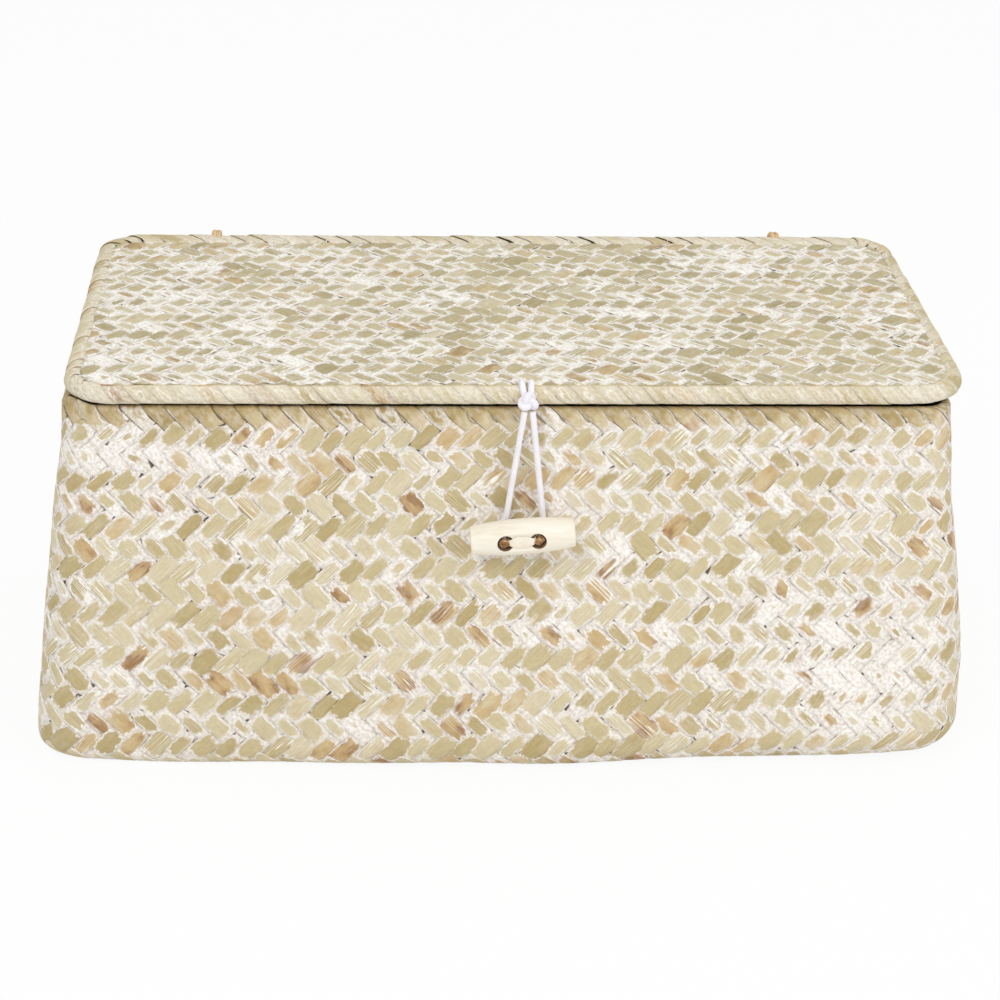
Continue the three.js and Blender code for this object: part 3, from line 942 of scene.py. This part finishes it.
def lid_edge(x, y):
    middle = (MAT_FRONT + MAT_BACK) / 2
    return beyond(x - LID_SHIFT, y - middle, MAT_HALF_W, MAT_BACK - middle, MAT_CORNER_R)


def lid_place(c, r):
    return LID_SHIFT + c * LID_COLUMN / 2 + LID_SHEAR * r * LID_ROW / 2, r * LID_ROW / 2


def lid_surface(c, r):
    x, y = lid_place(c, r)
    inside = np.maximum(-lid_edge(x, y), 0)
    wave = LID_WAVE * mat_wave(x, y)
    wave = wave + LID_RIPPLE * np.sin(x * LID_RIPPLE_RATES[0] + y * LID_RIPPLE_RATES[1])
    dip = LID_EDGE_DIP * np.exp(-inside / LID_EDGE_FADE)
    return flat_surface(x, y, MAT_MID + wave * fade(inside, 0, LID_WAVE_EDGE) - dip)


def base_edge(x, y):
    return beyond(x, y, BASE_MAT_HALF_W, BASE_MAT_HALF_D, MAT_CORNER_R)


def base_place(c, r):
    return c * BASE_COLUMN / 2, r * ROW / 2


def base_surface(c, r):
    x, y = base_place(c, r)
    return flat_surface(x, y, BASE_MID + BASE_WAVE * mat_wave(x, y))


# Ribbons

def ribbon_object(name, ribbons, material, columns=1):
    """Object of closed flat ribbons, each a dict of rings in mm and of values per ring point."""
    points, faces, strand_uv, bake_uv = [], [], [], []
    bands = math.ceil(len(ribbons) / columns)
    start = 0
    for index, ribbon in enumerate(ribbons):
        rings = ribbon["rings"]
        quads, corner_row, corner_column = grid_quads(len(rings), RING)
        faces.append(np.concatenate([quads, CAP[:, ::-1], CAP + (len(rings) - 1) * RING]) + start)
        place = lengths_along(rings.mean(axis=1))
        length = place[-1]
        width = np.linalg.norm(rings[:, 4] - rings[:, 0], axis=1).mean()
        side = np.append(ACROSS, ACROSS[0]) * width / 2
        along = place[corner_row]
        cap_u = CAP_U * CAP_SHARE * length
        bake_u = np.concatenate([along, -cap_u[:, ::-1], length + cap_u]) / length
        bake_u = (index // bands + within(bake_u, STRAND_END_MARGIN)) / columns
        bake_v = np.concatenate([RING_SHARE[corner_column], CAP_V[:, ::-1], CAP_V])
        bake_v = (index % bands + within(bake_v, STRAND_SIDE_MARGIN)) / bands
        bake_uv.append(np.stack([bake_u, bake_v], axis=-1))
        strand_u = np.concatenate([along, np.zeros(CAP.shape), np.full(CAP.shape, length)])
        strand_v = np.concatenate([side[corner_column], side[CAP][:, ::-1], side[CAP]])
        strand_uv.append(np.stack([strand_u + STRAND_APART * index, strand_v], axis=-1))
        points.append(rings.reshape(-1, 3))
        start += len(points[-1])
    uvs = {"strand": np.concatenate(strand_uv), "OFBake": np.concatenate(bake_uv)}
    keys = ("edge", "tone", "bare", "comb")
    values = {key: np.concatenate([np.ravel(ribbon[key]) for ribbon in ribbons]) for key in keys}
    values["across"] = np.tile(ACROSS, start // RING)
    return mesh_object(name, np.concatenate(points), np.concatenate(faces), material, uvs, values)


def strand_rng(seed, lean, index):
    """Draws of one strand. The shifts keep its seeds above zero."""
    return np.random.default_rng((SEED, seed, lean + 2, index + 500))


def strand_width(rng, middle, spread, least, most):
    return FILL * np.clip(middle + spread * rng.standard_normal(), least, most)


def combed(gain, draws):
    """How much of the comb's white lines a float has."""
    return np.clip(gain * draws - COMB_LESS, 0, 1)


def mat_ends(place, edge, lean, index):
    """Where each line along a strand enters and leaves a mat, or nothing if the strand misses it."""
    t = np.linspace(-MAT_REACH, MAT_REACH, EDGE_STEPS)[:, None]
    v = 0.5 * ACROSS
    x, y = place(2 * index + lean * t + v, t - lean * v)
    out = edge(x, y)
    if (out.min(axis=0) < 0).sum() < 2:
        return None
    nearest = t[out.argmin(axis=0), 0]
    inside = out < 0
    low = np.where(inside.any(axis=0), t[inside.argmax(axis=0), 0], nearest)
    high = np.where(inside.any(axis=0), t[len(t) - 1 - inside[::-1].argmax(axis=0), 0], nearest)
    ragged = strand_rng(RAGGED_SEED, lean, index).uniform(*RAGGED_ENDS, 2)
    return low + ragged[0], high - ragged[1]


def twill_strand(surface, seed, lean, index, ends, bare, sink):
    """One strand of a mat. It leans right (1) or left (-1) and passes over and under two by two."""
    rng = strand_rng(seed, lean, index)
    low, high = ends
    first, last = low.min(), high.max()
    r0 = np.linspace(first, last, max(int((last - first) * STEPS_PER_UNIT) + 1, FEWEST_STEPS))
    reach = np.clip(r0[:, None], low, high)
    reach = reach + END_STRETCH * (r0[:, None] - reach)
    width = strand_width(rng, *TWILL_WIDTH) * (1 + waves(rng, r0, *WIDTH_WAVE))
    width = width * (1 + PAIR_WIDTH * (1 if index % 2 else -1))
    middle = TWILL_MIDDLE[lean]
    for bend in np.arange(math.floor(first), math.ceil(last) + 1):
        if rng.random() < PINCH_SHARE:
            pinch = np.exp(-((r0 - middle - 2 * bend - 1) / PINCH_HALF) ** 2)
            width = width - rng.uniform(*PINCH_DEPTH) * pinch
    drift = waves(rng, r0, *DRIFT_WAVE) + DRIFT_SPREAD * rng.standard_normal()
    v = 0.5 * ACROSS * width[:, None] + drift[:, None]
    slip = waves(rng, r0, *SLIP_WAVE) + SLIP_SPREAD * rng.standard_normal()
    place = (reach + slip[:, None] - middle) / TWILL_PERIOD + 0.5
    over = 1 - np.abs(place % 1 - 0.5) * TWILL_PERIOD
    arch = np.sin(over * np.pi / 2)
    arch = arch * (1.5 - 0.5 * arch ** 2)
    shown = np.floor(place).astype(int) + FIRST_FLOAT
    hidden = np.floor(place + 0.5).astype(int) + FIRST_FLOAT
    tones = rng.random((2, FLOATS)) ** LEAN_TONE[lean]
    rubbed = RUB_SPREAD * rng.standard_normal(FLOATS) + LEAN_BARE[lean]
    for share, more in ODD_FLOATS:
        rubbed = rubbed + more * (rng.random(FLOATS) < share)
    combs = combed(COMB_GAIN, rng.random(FLOATS))
    lifts = rng.uniform(*FLOAT_LIFT, FLOATS)
    points, normal = surface(2 * index + lean * reach + v, reach - lean * v)
    worn = bare(points) + rubbed[shown]
    worn = worn - FAINT_LESS * fade(worn, *FAINT_BARE)
    height = sink + (RELIEF + lifts[shown]) * arch
    return {
        "rings": above_floor(points + normal * (height + STRAND_THICK * HEIGHT)[..., None]),
        "edge": np.where(OUTSIDE, over, -over),
        "tone": np.where(OUTSIDE, tones[0][shown], tones[1][hidden]),
        "bare": np.where(OUTSIDE, worn, PLAIN),
        "comb": np.where(OUTSIDE, combs[shown], 0.0),
    }


def painted(one, two, places):
    """Share of paint laid on by soft round patches."""
    total = np.zeros_like(one)
    for mid_one, mid_two, half_one, half_two, share in places:
        total += share * np.exp(-((one - mid_one) / half_one) ** 2 - ((two - mid_two) / half_two) ** 2)
    return total


def wall_bare(points):
    x, y, z = np.moveaxis(points, -1, 0)
    dabs = [(mid_x, mid_z, half, half, DAB_SHARE) for mid_x, mid_z, half in DABS]
    front = np.where(y < FRONT_Y, painted(x, z, (*WALL_PAINT, *dabs)), 0.0)
    under_hem = np.where(z > UNDER_HEM_Z, PLAIN, 0.0)
    return under_hem + WALL_RUBBED + patch_noise(points, WALL_NOISE) - front


def lid_bare(points):
    x, y, _ = np.moveaxis(points, -1, 0)
    return LID_RUBBED + patch_noise(points, LID_NOISE) - painted(x, y, LID_PAINT)


def base_bare(points):
    return np.full(points.shape[:-1], PLAIN)


def build_strands(name, strands, material, parts, body, node_name):
    """The strands of a mat that lean one way, in a number of pieces."""
    share = math.ceil(len(strands) / parts)
    for part in range(parts):
        obj = ribbon_object(f"{name}_{part + 1}", strands[part * share:(part + 1) * share], material)
        dress(obj, body, node_name)


def build_walls():
    for lean, word in LEANS:
        ends = np.full(RING, WALL_FOOT), np.full(RING, WALL_TOP[lean])
        strands = [
            twill_strand(wall_surface, WALL_SEED, lean, index, ends, wall_bare, WALL_SINK)
            for index in range(COLUMNS)
        ]
        build_strands(f"wall_strands_{word}", strands, WEAVE, WALL_PIECES, "box", "woven_body")


def build_mat(name, seed, surface, place, edge, bare, material, parts, body, node_name):
    for lean, word in LEANS:
        found = [(i, mat_ends(place, edge, lean, i)) for i in range(-MAT_REACH, MAT_REACH + 1)]
        strands = [twill_strand(surface, seed, lean, i, ends, bare, 0.0) for i, ends in found if ends]
        build_strands(f"{name}_strands_{word}", strands, material, parts, body, node_name)


build_walls()
build_mat(
    "lid", LID_SEED, lid_surface, lid_place, lid_edge, lid_bare, LID_WEAVE, LID_PIECES,
    "lid", "lid_panel",
)
build_mat(
    "base", BASE_SEED, base_surface, base_place, base_edge, base_bare, WEAVE, BASE_PIECES,
    "box", "woven_body",
)


# Rims: strands folded over the body's edge, and wrapped round the lid's

def rim_ribbon(rng, rings, edge, tone, rubbed):
    """Ribbon of a rim, from its rings and from its values along them."""
    shape = rings.shape[:2]
    return {
        "rings": rings,
        "edge": np.broadcast_to(edge[:, None], shape),
        "tone": np.broadcast_to(tone[:, None], shape),
        "bare": np.where(OUTSIDE, rubbed[:, None], PLAIN),
        "comb": np.full(shape, combed(RIM_COMB_GAIN, rng.random())),
    }


def hem_strand(index):
    """Strand that comes up from under the weave, lies over the rim and ends inside the box."""
    rng = np.random.default_rng((SEED, HEM_SEED, index))
    r0 = np.linspace(*HEM_UNITS, HEM_STEPS)
    rise = np.sin(np.clip((r0 - HEM_RISE) / HEM_RISE_HALF, -1, 1) * np.pi / 2)
    taper = rng.uniform(*HEM_TAPER) * np.exp(-((r0 - HEM_TAPER_AT) / HEM_TAPER_HALF) ** 2)
    width = strand_width(rng, *HEM_WIDTH) - taper
    drift = HEM_DRIFT * rng.standard_normal() - HEM_TAPER_LEAN * taper
    v = 0.5 * ACROSS * width[:, None] + drift[:, None]
    points, normal = wall_surface(2 * index - r0[:, None] + v, r0[:, None] + v)
    height = WALL_SINK + (RELIEF + rng.uniform(*HEM_LIFT)) * rise
    rings = points + normal * (height[:, None] + STRAND_THICK * HEIGHT)[..., None]
    rubbed = np.where(r0 < HEM_INSIDE, HEM_RUBBED + HEM_RUB_SPREAD * rng.standard_normal(), PLAIN)
    # The tone darkens towards the top of the fold: painted shade under the lid's edge.
    tone = rng.random() * (1 - HEM_SHADE_DEPTH * fade(r0, *HEM_SHADE_SPAN))
    return rim_ribbon(rng, rings, np.clip(r0 - HEM_RISE, 0, 1), tone, rubbed)


def rim_of(half_w, half_d, radius, shift_x, dents=()):
    """Length round a rim, and functions for the point and the facing at a share of the way round it."""
    around = 4 * (half_w + half_d - 2 * radius) + 2 * np.pi * radius

    def facing(turn):
        ahead_x, ahead_y = rounded_outline(turn + TURN_STEP, half_w, half_d, radius)
        back_x, back_y = rounded_outline(turn - TURN_STEP, half_w, half_d, radius)
        length = np.hypot(ahead_x - back_x, ahead_y - back_y)
        return (ahead_y - back_y) / length, -(ahead_x - back_x) / length

    def point(turn, out, z):
        x, y = rounded_outline(turn, half_w, half_d, radius)
        face_x, face_y = facing(turn)
        out = out + dents_at(turn, dents)
        return np.stack([shift_x + x + face_x * out, y + face_y * out, np.broadcast_to(z, x.shape)], axis=-1)

    return around, point, facing


def wrap_path(shown):
    """Section of a wrap, as out, z and facing: from under the mat, round the lid's edge and back below."""
    half = STRAND_THICK / 2
    nose = LID_THICK / 2
    bend_r = nose - half
    top = LID_BOTTOM + LID_THICK - half
    start_out, start_down = np.array(WRAP_START).T
    flat = np.arange(WRAP_FLAT_FROM - shown, -nose - WRAP_FLAT_STOP, WRAP_FLAT_STEP)
    bend_out = 0 if len(flat) else max(WRAP_BEND_FROM + nose - shown, 0)
    angle = np.linspace(math.acos(min(bend_out / bend_r, 1)), -np.pi / 2, WRAP_BEND_STEPS)
    legs = [-nose - leg for leg in WRAP_LEGS] + [-max(LID_UNDER_LEG, shown + WRAP_LEG_PAST)]
    out = np.concatenate([start_out - shown, flat, bend_r * np.cos(angle) - nose, legs])
    bend_z = LID_BOTTOM + nose + bend_r * np.sin(angle)
    below = np.full(len(legs), LID_BOTTOM + half)
    z = np.concatenate([top - start_down, np.full(len(flat), top), bend_z, below])
    up = np.full(len(WRAP_START) + len(flat), np.pi / 2)
    return out, z, np.concatenate([up, angle, np.full(len(legs), -np.pi / 2)])


def wrap_strand(rim, index):
    around, point, facing = rim
    rng = np.random.default_rng((SEED, WRAP_SEED, index))
    face_x, face_y = facing(np.array(index / LID_WRAPS))
    front = max(-face_y, 0.0) ** 2
    back = max(face_y, 0.0) ** 2
    sides = (1.0, front, back, face_x ** 2)
    shown = SHOWN_FRONT * front + SHOWN_BACK * back + SHOWN_SIDE * face_x ** 2
    out, z, face = wrap_path(shown)
    run = np.concatenate([[0], np.cumsum(np.hypot(np.diff(out), np.diff(z)))])
    run = run - np.interp(0.0, -face, run)
    width = strand_width(rng, *WRAP_WIDTH)
    if rng.random() < THIN_WRAPS * back:
        width *= THIN_WRAP_WIDTH
    shift = WRAP_SLANT * run + WRAP_SLIP * rng.standard_normal()
    turn = (index + 0.5 * ACROSS * width) / LID_WRAPS + shift[:, None] / around
    lift = STRAND_THICK * HEIGHT + WRAP_OVERLAP * ACROSS + np.dot(WRAP_RAISED, sides)
    lift = lift + np.dot(WRAP_LIFT_SPREAD, sides) * rng.standard_normal()
    ring_out = out[:, None] + np.cos(face)[:, None] * lift
    rings = point(turn, ring_out, z[:, None] + np.sin(face)[:, None] * lift)
    laid = (1 - front) * rng.uniform(*WRAP_LAID) * fade(out, *WRAP_LAID_OUT)
    rubbed = np.dot(WRAP_RUBBED, sides) + np.dot(WRAP_RUB_SPREAD, sides) * rng.standard_normal()
    corner = 4 * max(-face_x, 0.0) ** 2 * front
    # Bare tops of the front wraps: partly bare straw and partly painted shade of the crease under the mat's
    # edge.
    rubbed = rubbed + WRAP_TOP_BARE_AND_SHADE * front * (face > WRAP_TOP) - laid - WRAP_CORNER_LAID * corner
    edge = np.clip((out + shown) / WRAP_EDGE_OUT + WRAP_EDGE_LEAST, 0, 1)
    tone = np.full(len(out), rng.random())
    return rim_ribbon(rng, rings, edge, tone, np.where(face > WRAP_UNDER, rubbed, PLAIN))


def build_rims():
    strands = [hem_strand(index) for index in range(COLUMNS)]
    dress(ribbon_object("hem_folds", strands, HEM, columns=4), "box", "body_rim_binding")
    rim = rim_of(LID_HALF_W, LID_HALF_D, LID_CORNER_R, LID_SHIFT, LID_DENTS)
    strands = [wrap_strand(rim, index) for index in range(LID_WRAPS)]
    dress(ribbon_object("lid_edge_wraps", strands, WRAP, columns=4), "lid", "lid_rim_binding")


def build_rim_cane():
    """Split cane inside the hem."""
    _, point, _ = rim_of(RIM_HALF_W, RIM_HALF_D, RIM_CORNER_R, 0.0)
    path = point(np.linspace(0, 1, 360, endpoint=False), RIM_CANE_OUT, RIM_CANE_Z)
    ring = tube_object("rim_cane", [tube_rings(path, RIM_CANE_R, sides=10)], CANE, closed=True)
    dress(ring, "box", "body_rim_hoop")


build_rims()
build_rim_cane()
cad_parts["lid_rim_hoop"].data.materials.clear()
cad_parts["lid_rim_hoop"].data.materials.append(CANE)


# Hinge ties

def build_tie(word, side):
    """Two turns of two-ply string round the axis of the hinge."""
    angle = np.linspace(0, 2 * np.pi, 160, endpoint=False)
    tubes = []
    for turn in (-1, 1):
        for ply in (0, np.pi):
            twist = TIE_TWISTS * angle + ply + turn
            radius = TIE_RING_R + TIE_TWIST_R * np.cos(twist)
            x = LID_SHIFT + side * TIE_HALF_SPAN + TIE_TURN_GAP * turn + TIE_TWIST_R * np.sin(twist)
            path = np.stack([x, HINGE_Y + radius * np.cos(angle), HINGE_Z + radius * np.sin(angle)], axis=1)
            tubes.append(tube_rings(path, TIE_PLY_R, sides=8))
    obj = tube_object(f"tie_string_{word}", tubes, STRING, closed=True)
    dress(obj, "box", f"hinge_tie_{word}")


build_tie("left", -1)
build_tie("right", 1)


# Elastic knot and stitch

def knot_path(centre, half, lean=0.0):
    """Overhand knot drawn tight, with one lobe up and two below."""
    wide, deep, high = half
    t = np.linspace(0, 2 * np.pi, 140, endpoint=False)
    x = wide * (np.sin(t) + 2 * np.sin(2 * t)) / 3
    z = high * (2 * np.cos(2 * t) - np.cos(t)) / 3
    lean = math.radians(lean)
    return np.stack([
        centre[0] + x * math.cos(lean) - z * math.sin(lean), centre[1] - deep * np.sin(3 * t),
        centre[2] + x * math.sin(lean) + z * math.cos(lean),
    ], axis=1)


def build_anchor():
    knot = tube_rings(knot_path(KNOT_CENTRE, KNOT_HALF, KNOT_LEAN), KNOT_CORD_R, sides=14)
    dress(tube_object("elastic_knot", [knot], ELASTIC, closed=True), "lid", "elastic_anchor")
    stitch = tube_rings(even_route(STITCH_ROUTE, fine=400, count=90), CORD_R, sides=14)
    dress(tube_object("elastic_stitch", [stitch], ELASTIC), "lid", "elastic_anchor")


build_anchor()


# Toggle and the strip that sews it on

def at_toggle(points):
    """Points beside the toggle's middle, turned to its tilt and moved to its place."""
    tilt = math.radians(TOGGLE_TILT)
    x, y, z = np.moveaxis(np.asarray(points, float), -1, 0)
    turned = (x * math.cos(tilt) + z * math.sin(tilt), y, z * math.cos(tilt) - x * math.sin(tilt))
    return np.stack(turned, axis=-1) + np.array(TOGGLE_CENTRE)


def lathe_points(profile, sides):
    angle = np.linspace(0, 2 * np.pi, sides, endpoint=False)
    x, radius = np.asarray(profile, float).T[:, :, None]
    x = np.broadcast_to(x, (len(x), sides))
    return np.stack([x, radius * np.cos(angle), radius * np.sin(angle)], axis=-1)


def solid_of(name, rings):
    rows, sides = rings.shape[:2]
    faces = [f.tolist() for f in grid_quads(rows, sides)[0]]
    faces += [list(range(sides))[::-1], [(rows - 1) * sides + k for k in range(sides)]]
    mesh = bpy.data.meshes.new(name)
    mesh.from_pydata((rings.reshape(-1, 3) * MM).tolist(), [], faces)
    return link_object(name, mesh)


def toggle_profile():
    half = TOGGLE_LENGTH / 2
    drop = TOGGLE_MID_R - TOGGLE_END_R
    barrel = [(a * (half - TOGGLE_END_ROUND), TOGGLE_MID_R - drop * a * a) for a in np.linspace(-1, 1, 33)]
    soften = [(1 - math.cos(b), 1 - math.sin(b)) for b in np.radians([30, 60, 90])]
    right = [(half - TOGGLE_END_ROUND * q, TOGGLE_END_R - TOGGLE_END_ROUND * p) for p, q in soften]
    return [(-x, r) for x, r in reversed(right)] + barrel + right


def toggle_cutters():
    """The two holes, and the groove between them."""
    cutters = []
    for x in HOLES_X:
        rings = lathe_points([(-BORE_HALF, HOLE_R), (BORE_HALF, HOLE_R)], sides=40)
        rings = np.stack([rings[..., 1] + x, rings[..., 0], -rings[..., 2]], axis=-1)
        cutters.append(solid_of("bore", at_toggle(rings)))
    groove = lathe_points([(-HOLE_HALF_SPAN, 1.0), (HOLE_HALF_SPAN, 1.0)], sides=40)
    groove = groove * (1, GROOVE_DEPTH, GROOVE_HALF) + (HOLE_SHIFT, -TOGGLE_MID_R, 0)
    return [*cutters, solid_of("groove", at_toggle(groove))]


def build_toggle():
    body = solid_of("toggle_barrel", at_toggle(lathe_points(toggle_profile(), sides=96)))
    cutters = toggle_cutters()
    for cutter in cutters:
        hole = body.modifiers.new("hole", "BOOLEAN")
        hole.object = cutter
        hole.operation = "DIFFERENCE"
        hole.solver = "EXACT"
    evaluated = body.evaluated_get(bpy.context.evaluated_depsgraph_get())
    mesh = bpy.data.meshes.new_from_object(evaluated)
    for obj in (body, *cutters):
        bpy.data.objects.remove(obj)
    mesh.name = "toggle_barrel"
    mesh.shade_smooth()
    mesh.set_sharp_from_angle(angle=math.radians(SHARP_ANGLE))
    mesh.materials.clear()
    mesh.materials.append(WOOD)
    # Faces on the walls of the holes carry the brown painted shade.
    holes = at_toggle([(x, 0, 0) for x in HOLES_X])
    centres = np.array([face.center for face in mesh.polygons]) / MM
    from_hole = np.linalg.norm((centres[:, None] - holes)[..., (0, 2)], axis=-1).min(axis=1)
    stain = mesh.attributes.new("stain", "FLOAT", "FACE")
    stain.data.foreach_set("value", (from_hole < HOLE_R).astype(float))
    dress(link_object("toggle_barrel", mesh), "toggle", "toggle")


def build_strip():
    """Flat strip through both holes and along the groove, and its knot inside the wall."""
    reach = HOLE_HALF_SPAN - STRIP_INSET
    front = -(TOGGLE_MID_R - GROOVE_DEPTH + STRIP_LIFT)
    near = [(reach, STRIP_INSIDE), (reach, STRIP_INSIDE / 2), (reach, 0)]
    near += [(reach - x, front + y) for x, y in STRIP_BEND]
    route = [(-x, y, 0) for x, y in near] + [(0, front, 0)] + [(x, y, 0) for x, y in reversed(near)]
    path = even_route(route, fine=500, count=110)
    tangent = np.gradient(path, axis=0)
    tangent /= np.linalg.norm(tangent, axis=1)[:, None]
    normal = np.stack([tangent[:, 1], -tangent[:, 0], 0 * tangent[:, 0]], axis=1)
    angle = np.linspace(0, 2 * np.pi, 16, endpoint=False)
    flat = np.sign(np.cos(angle)) * np.abs(np.cos(angle)) ** STRIP_ROUND
    wide = STRIP_WIDTH / 2 + STRIP_WIDENS * fade(reach - np.abs(path[:, 0]), *STRIP_WIDE_X)
    wide = wide + waves(np.random.default_rng((SEED, STRIP_SEED)), lengths_along(path), *STRIP_WAVE)
    rings = path[:, None] + normal[:, None] * (STRIP_THICK / 4 * np.sin(angle))[None, :, None]
    rings = rings + (HOLE_SHIFT, 0, 0)
    rings[..., 2] += wide[:, None] * flat
    dress(tube_object("toggle_strip", [at_toggle(rings)], STRIP), "box", "toggle_lashing")
    knot = knot_path((HOLE_SHIFT, STRIP_INSIDE + STRIP_KNOT_DEEPER, 0), STRIP_KNOT_HALF)
    knot = at_toggle(tube_rings(knot, STRIP_KNOT_R, sides=10))
    dress(tube_object("toggle_strip_knot", [knot], STRIP, closed=True), "box", "toggle_lashing")


def build_tufts():
    """Frayed fibre ends that fill the toggle's holes beside the strip."""
    tubes = []
    t = np.linspace(0, 1, 24)
    for side, hole_x in zip((-1, 1), HOLES_X):
        rng = np.random.default_rng((SEED, TUFT_SEED, side + 2))
        for _ in range(TUFTS):
            start, bend = rng.uniform(0, 2 * np.pi, 2)
            angle = start + (TUFT_TURN + bend / 4) * t
            spread = rng.uniform(*TUFT_SPREAD)
            x = hole_x + side * TUFT_OUT + spread * np.cos(angle)
            z = TUFT_FLAT * spread * np.sin(angle)
            y = -TOGGLE_MID_R + rng.uniform(*TUFT_DEPTH) + TUFT_BOW * (2 * t - 1) ** 2
            path = at_toggle(np.stack([x, y, z], axis=1))
            tubes.append(tube_rings(path, rng.uniform(*TUFT_R), sides=8))
    dress(tube_object("toggle_tufts", tubes, TUFT), "box", "toggle_lashing")


build_toggle()
build_strip()
build_tufts()


# Stage and light

def seen_rays(tree):
    """1 for the rays that show the background: straight to the camera, or by way of gloss or glass."""
    rays = node(tree, "LightPath").outputs
    seen = Value(rays["Is Camera Ray"]).most(Value(rays["Is Glossy Ray"]))
    return seen.most(Value(rays["Is Transmission Ray"]))


def build_stage():
    mesh = bpy.data.meshes.new("floor")
    corners = [(x * FLOOR_HALF, y * FLOOR_HALF, 0) for x, y in ((-1, -1), (1, -1), (1, 1), (-1, 1))]
    mesh.from_pydata(corners, [], [(0, 1, 2, 3)])
    floor = link_object("floor", mesh)
    floor.location.z = FLOOR_Z
    material, tree, shader = new_material("floor")
    put(shader, Base_Color=FLOOR_GREY, Roughness=0.9, Specular_IOR_Level=0.0)
    glow = node(tree, "Emission", (("Color", WHITE), ("Strength", 1.0)))
    inputs = enumerate((seen_rays(tree) * FLOOR_GLOW, Value(shader.outputs[0]), Value(glow.outputs[0])))
    shown = node(tree, "MixShader", inputs)
    tree.links.new(shown.outputs[0], tree.nodes["Material Output"].inputs["Surface"])
    mesh.materials.append(material)


def build_light():
    scene = bpy.context.scene
    scene.view_settings.view_transform = "Standard"
    world = bpy.data.worlds.new("world")
    world.use_nodes = True
    background = world.node_tree.nodes["Background"]
    put(background, Color=WHITE, Strength=seen_rays(world.node_tree).ranged(0.0, 1.0, WORLD_LIGHT, 1.0))
    scene.world = world
    for name, spot, size, power in LAMPS:
        light = bpy.data.lights.new(name, "AREA")
        light.size = size
        light.energy = power
        lamp = link_object(name, light)
        lamp.location = spot
        lamp.rotation_euler = (Vector(LAMP_AIM) - Vector(spot)).to_track_quat("-Z", "Y").to_euler()


build_stage()
build_light()
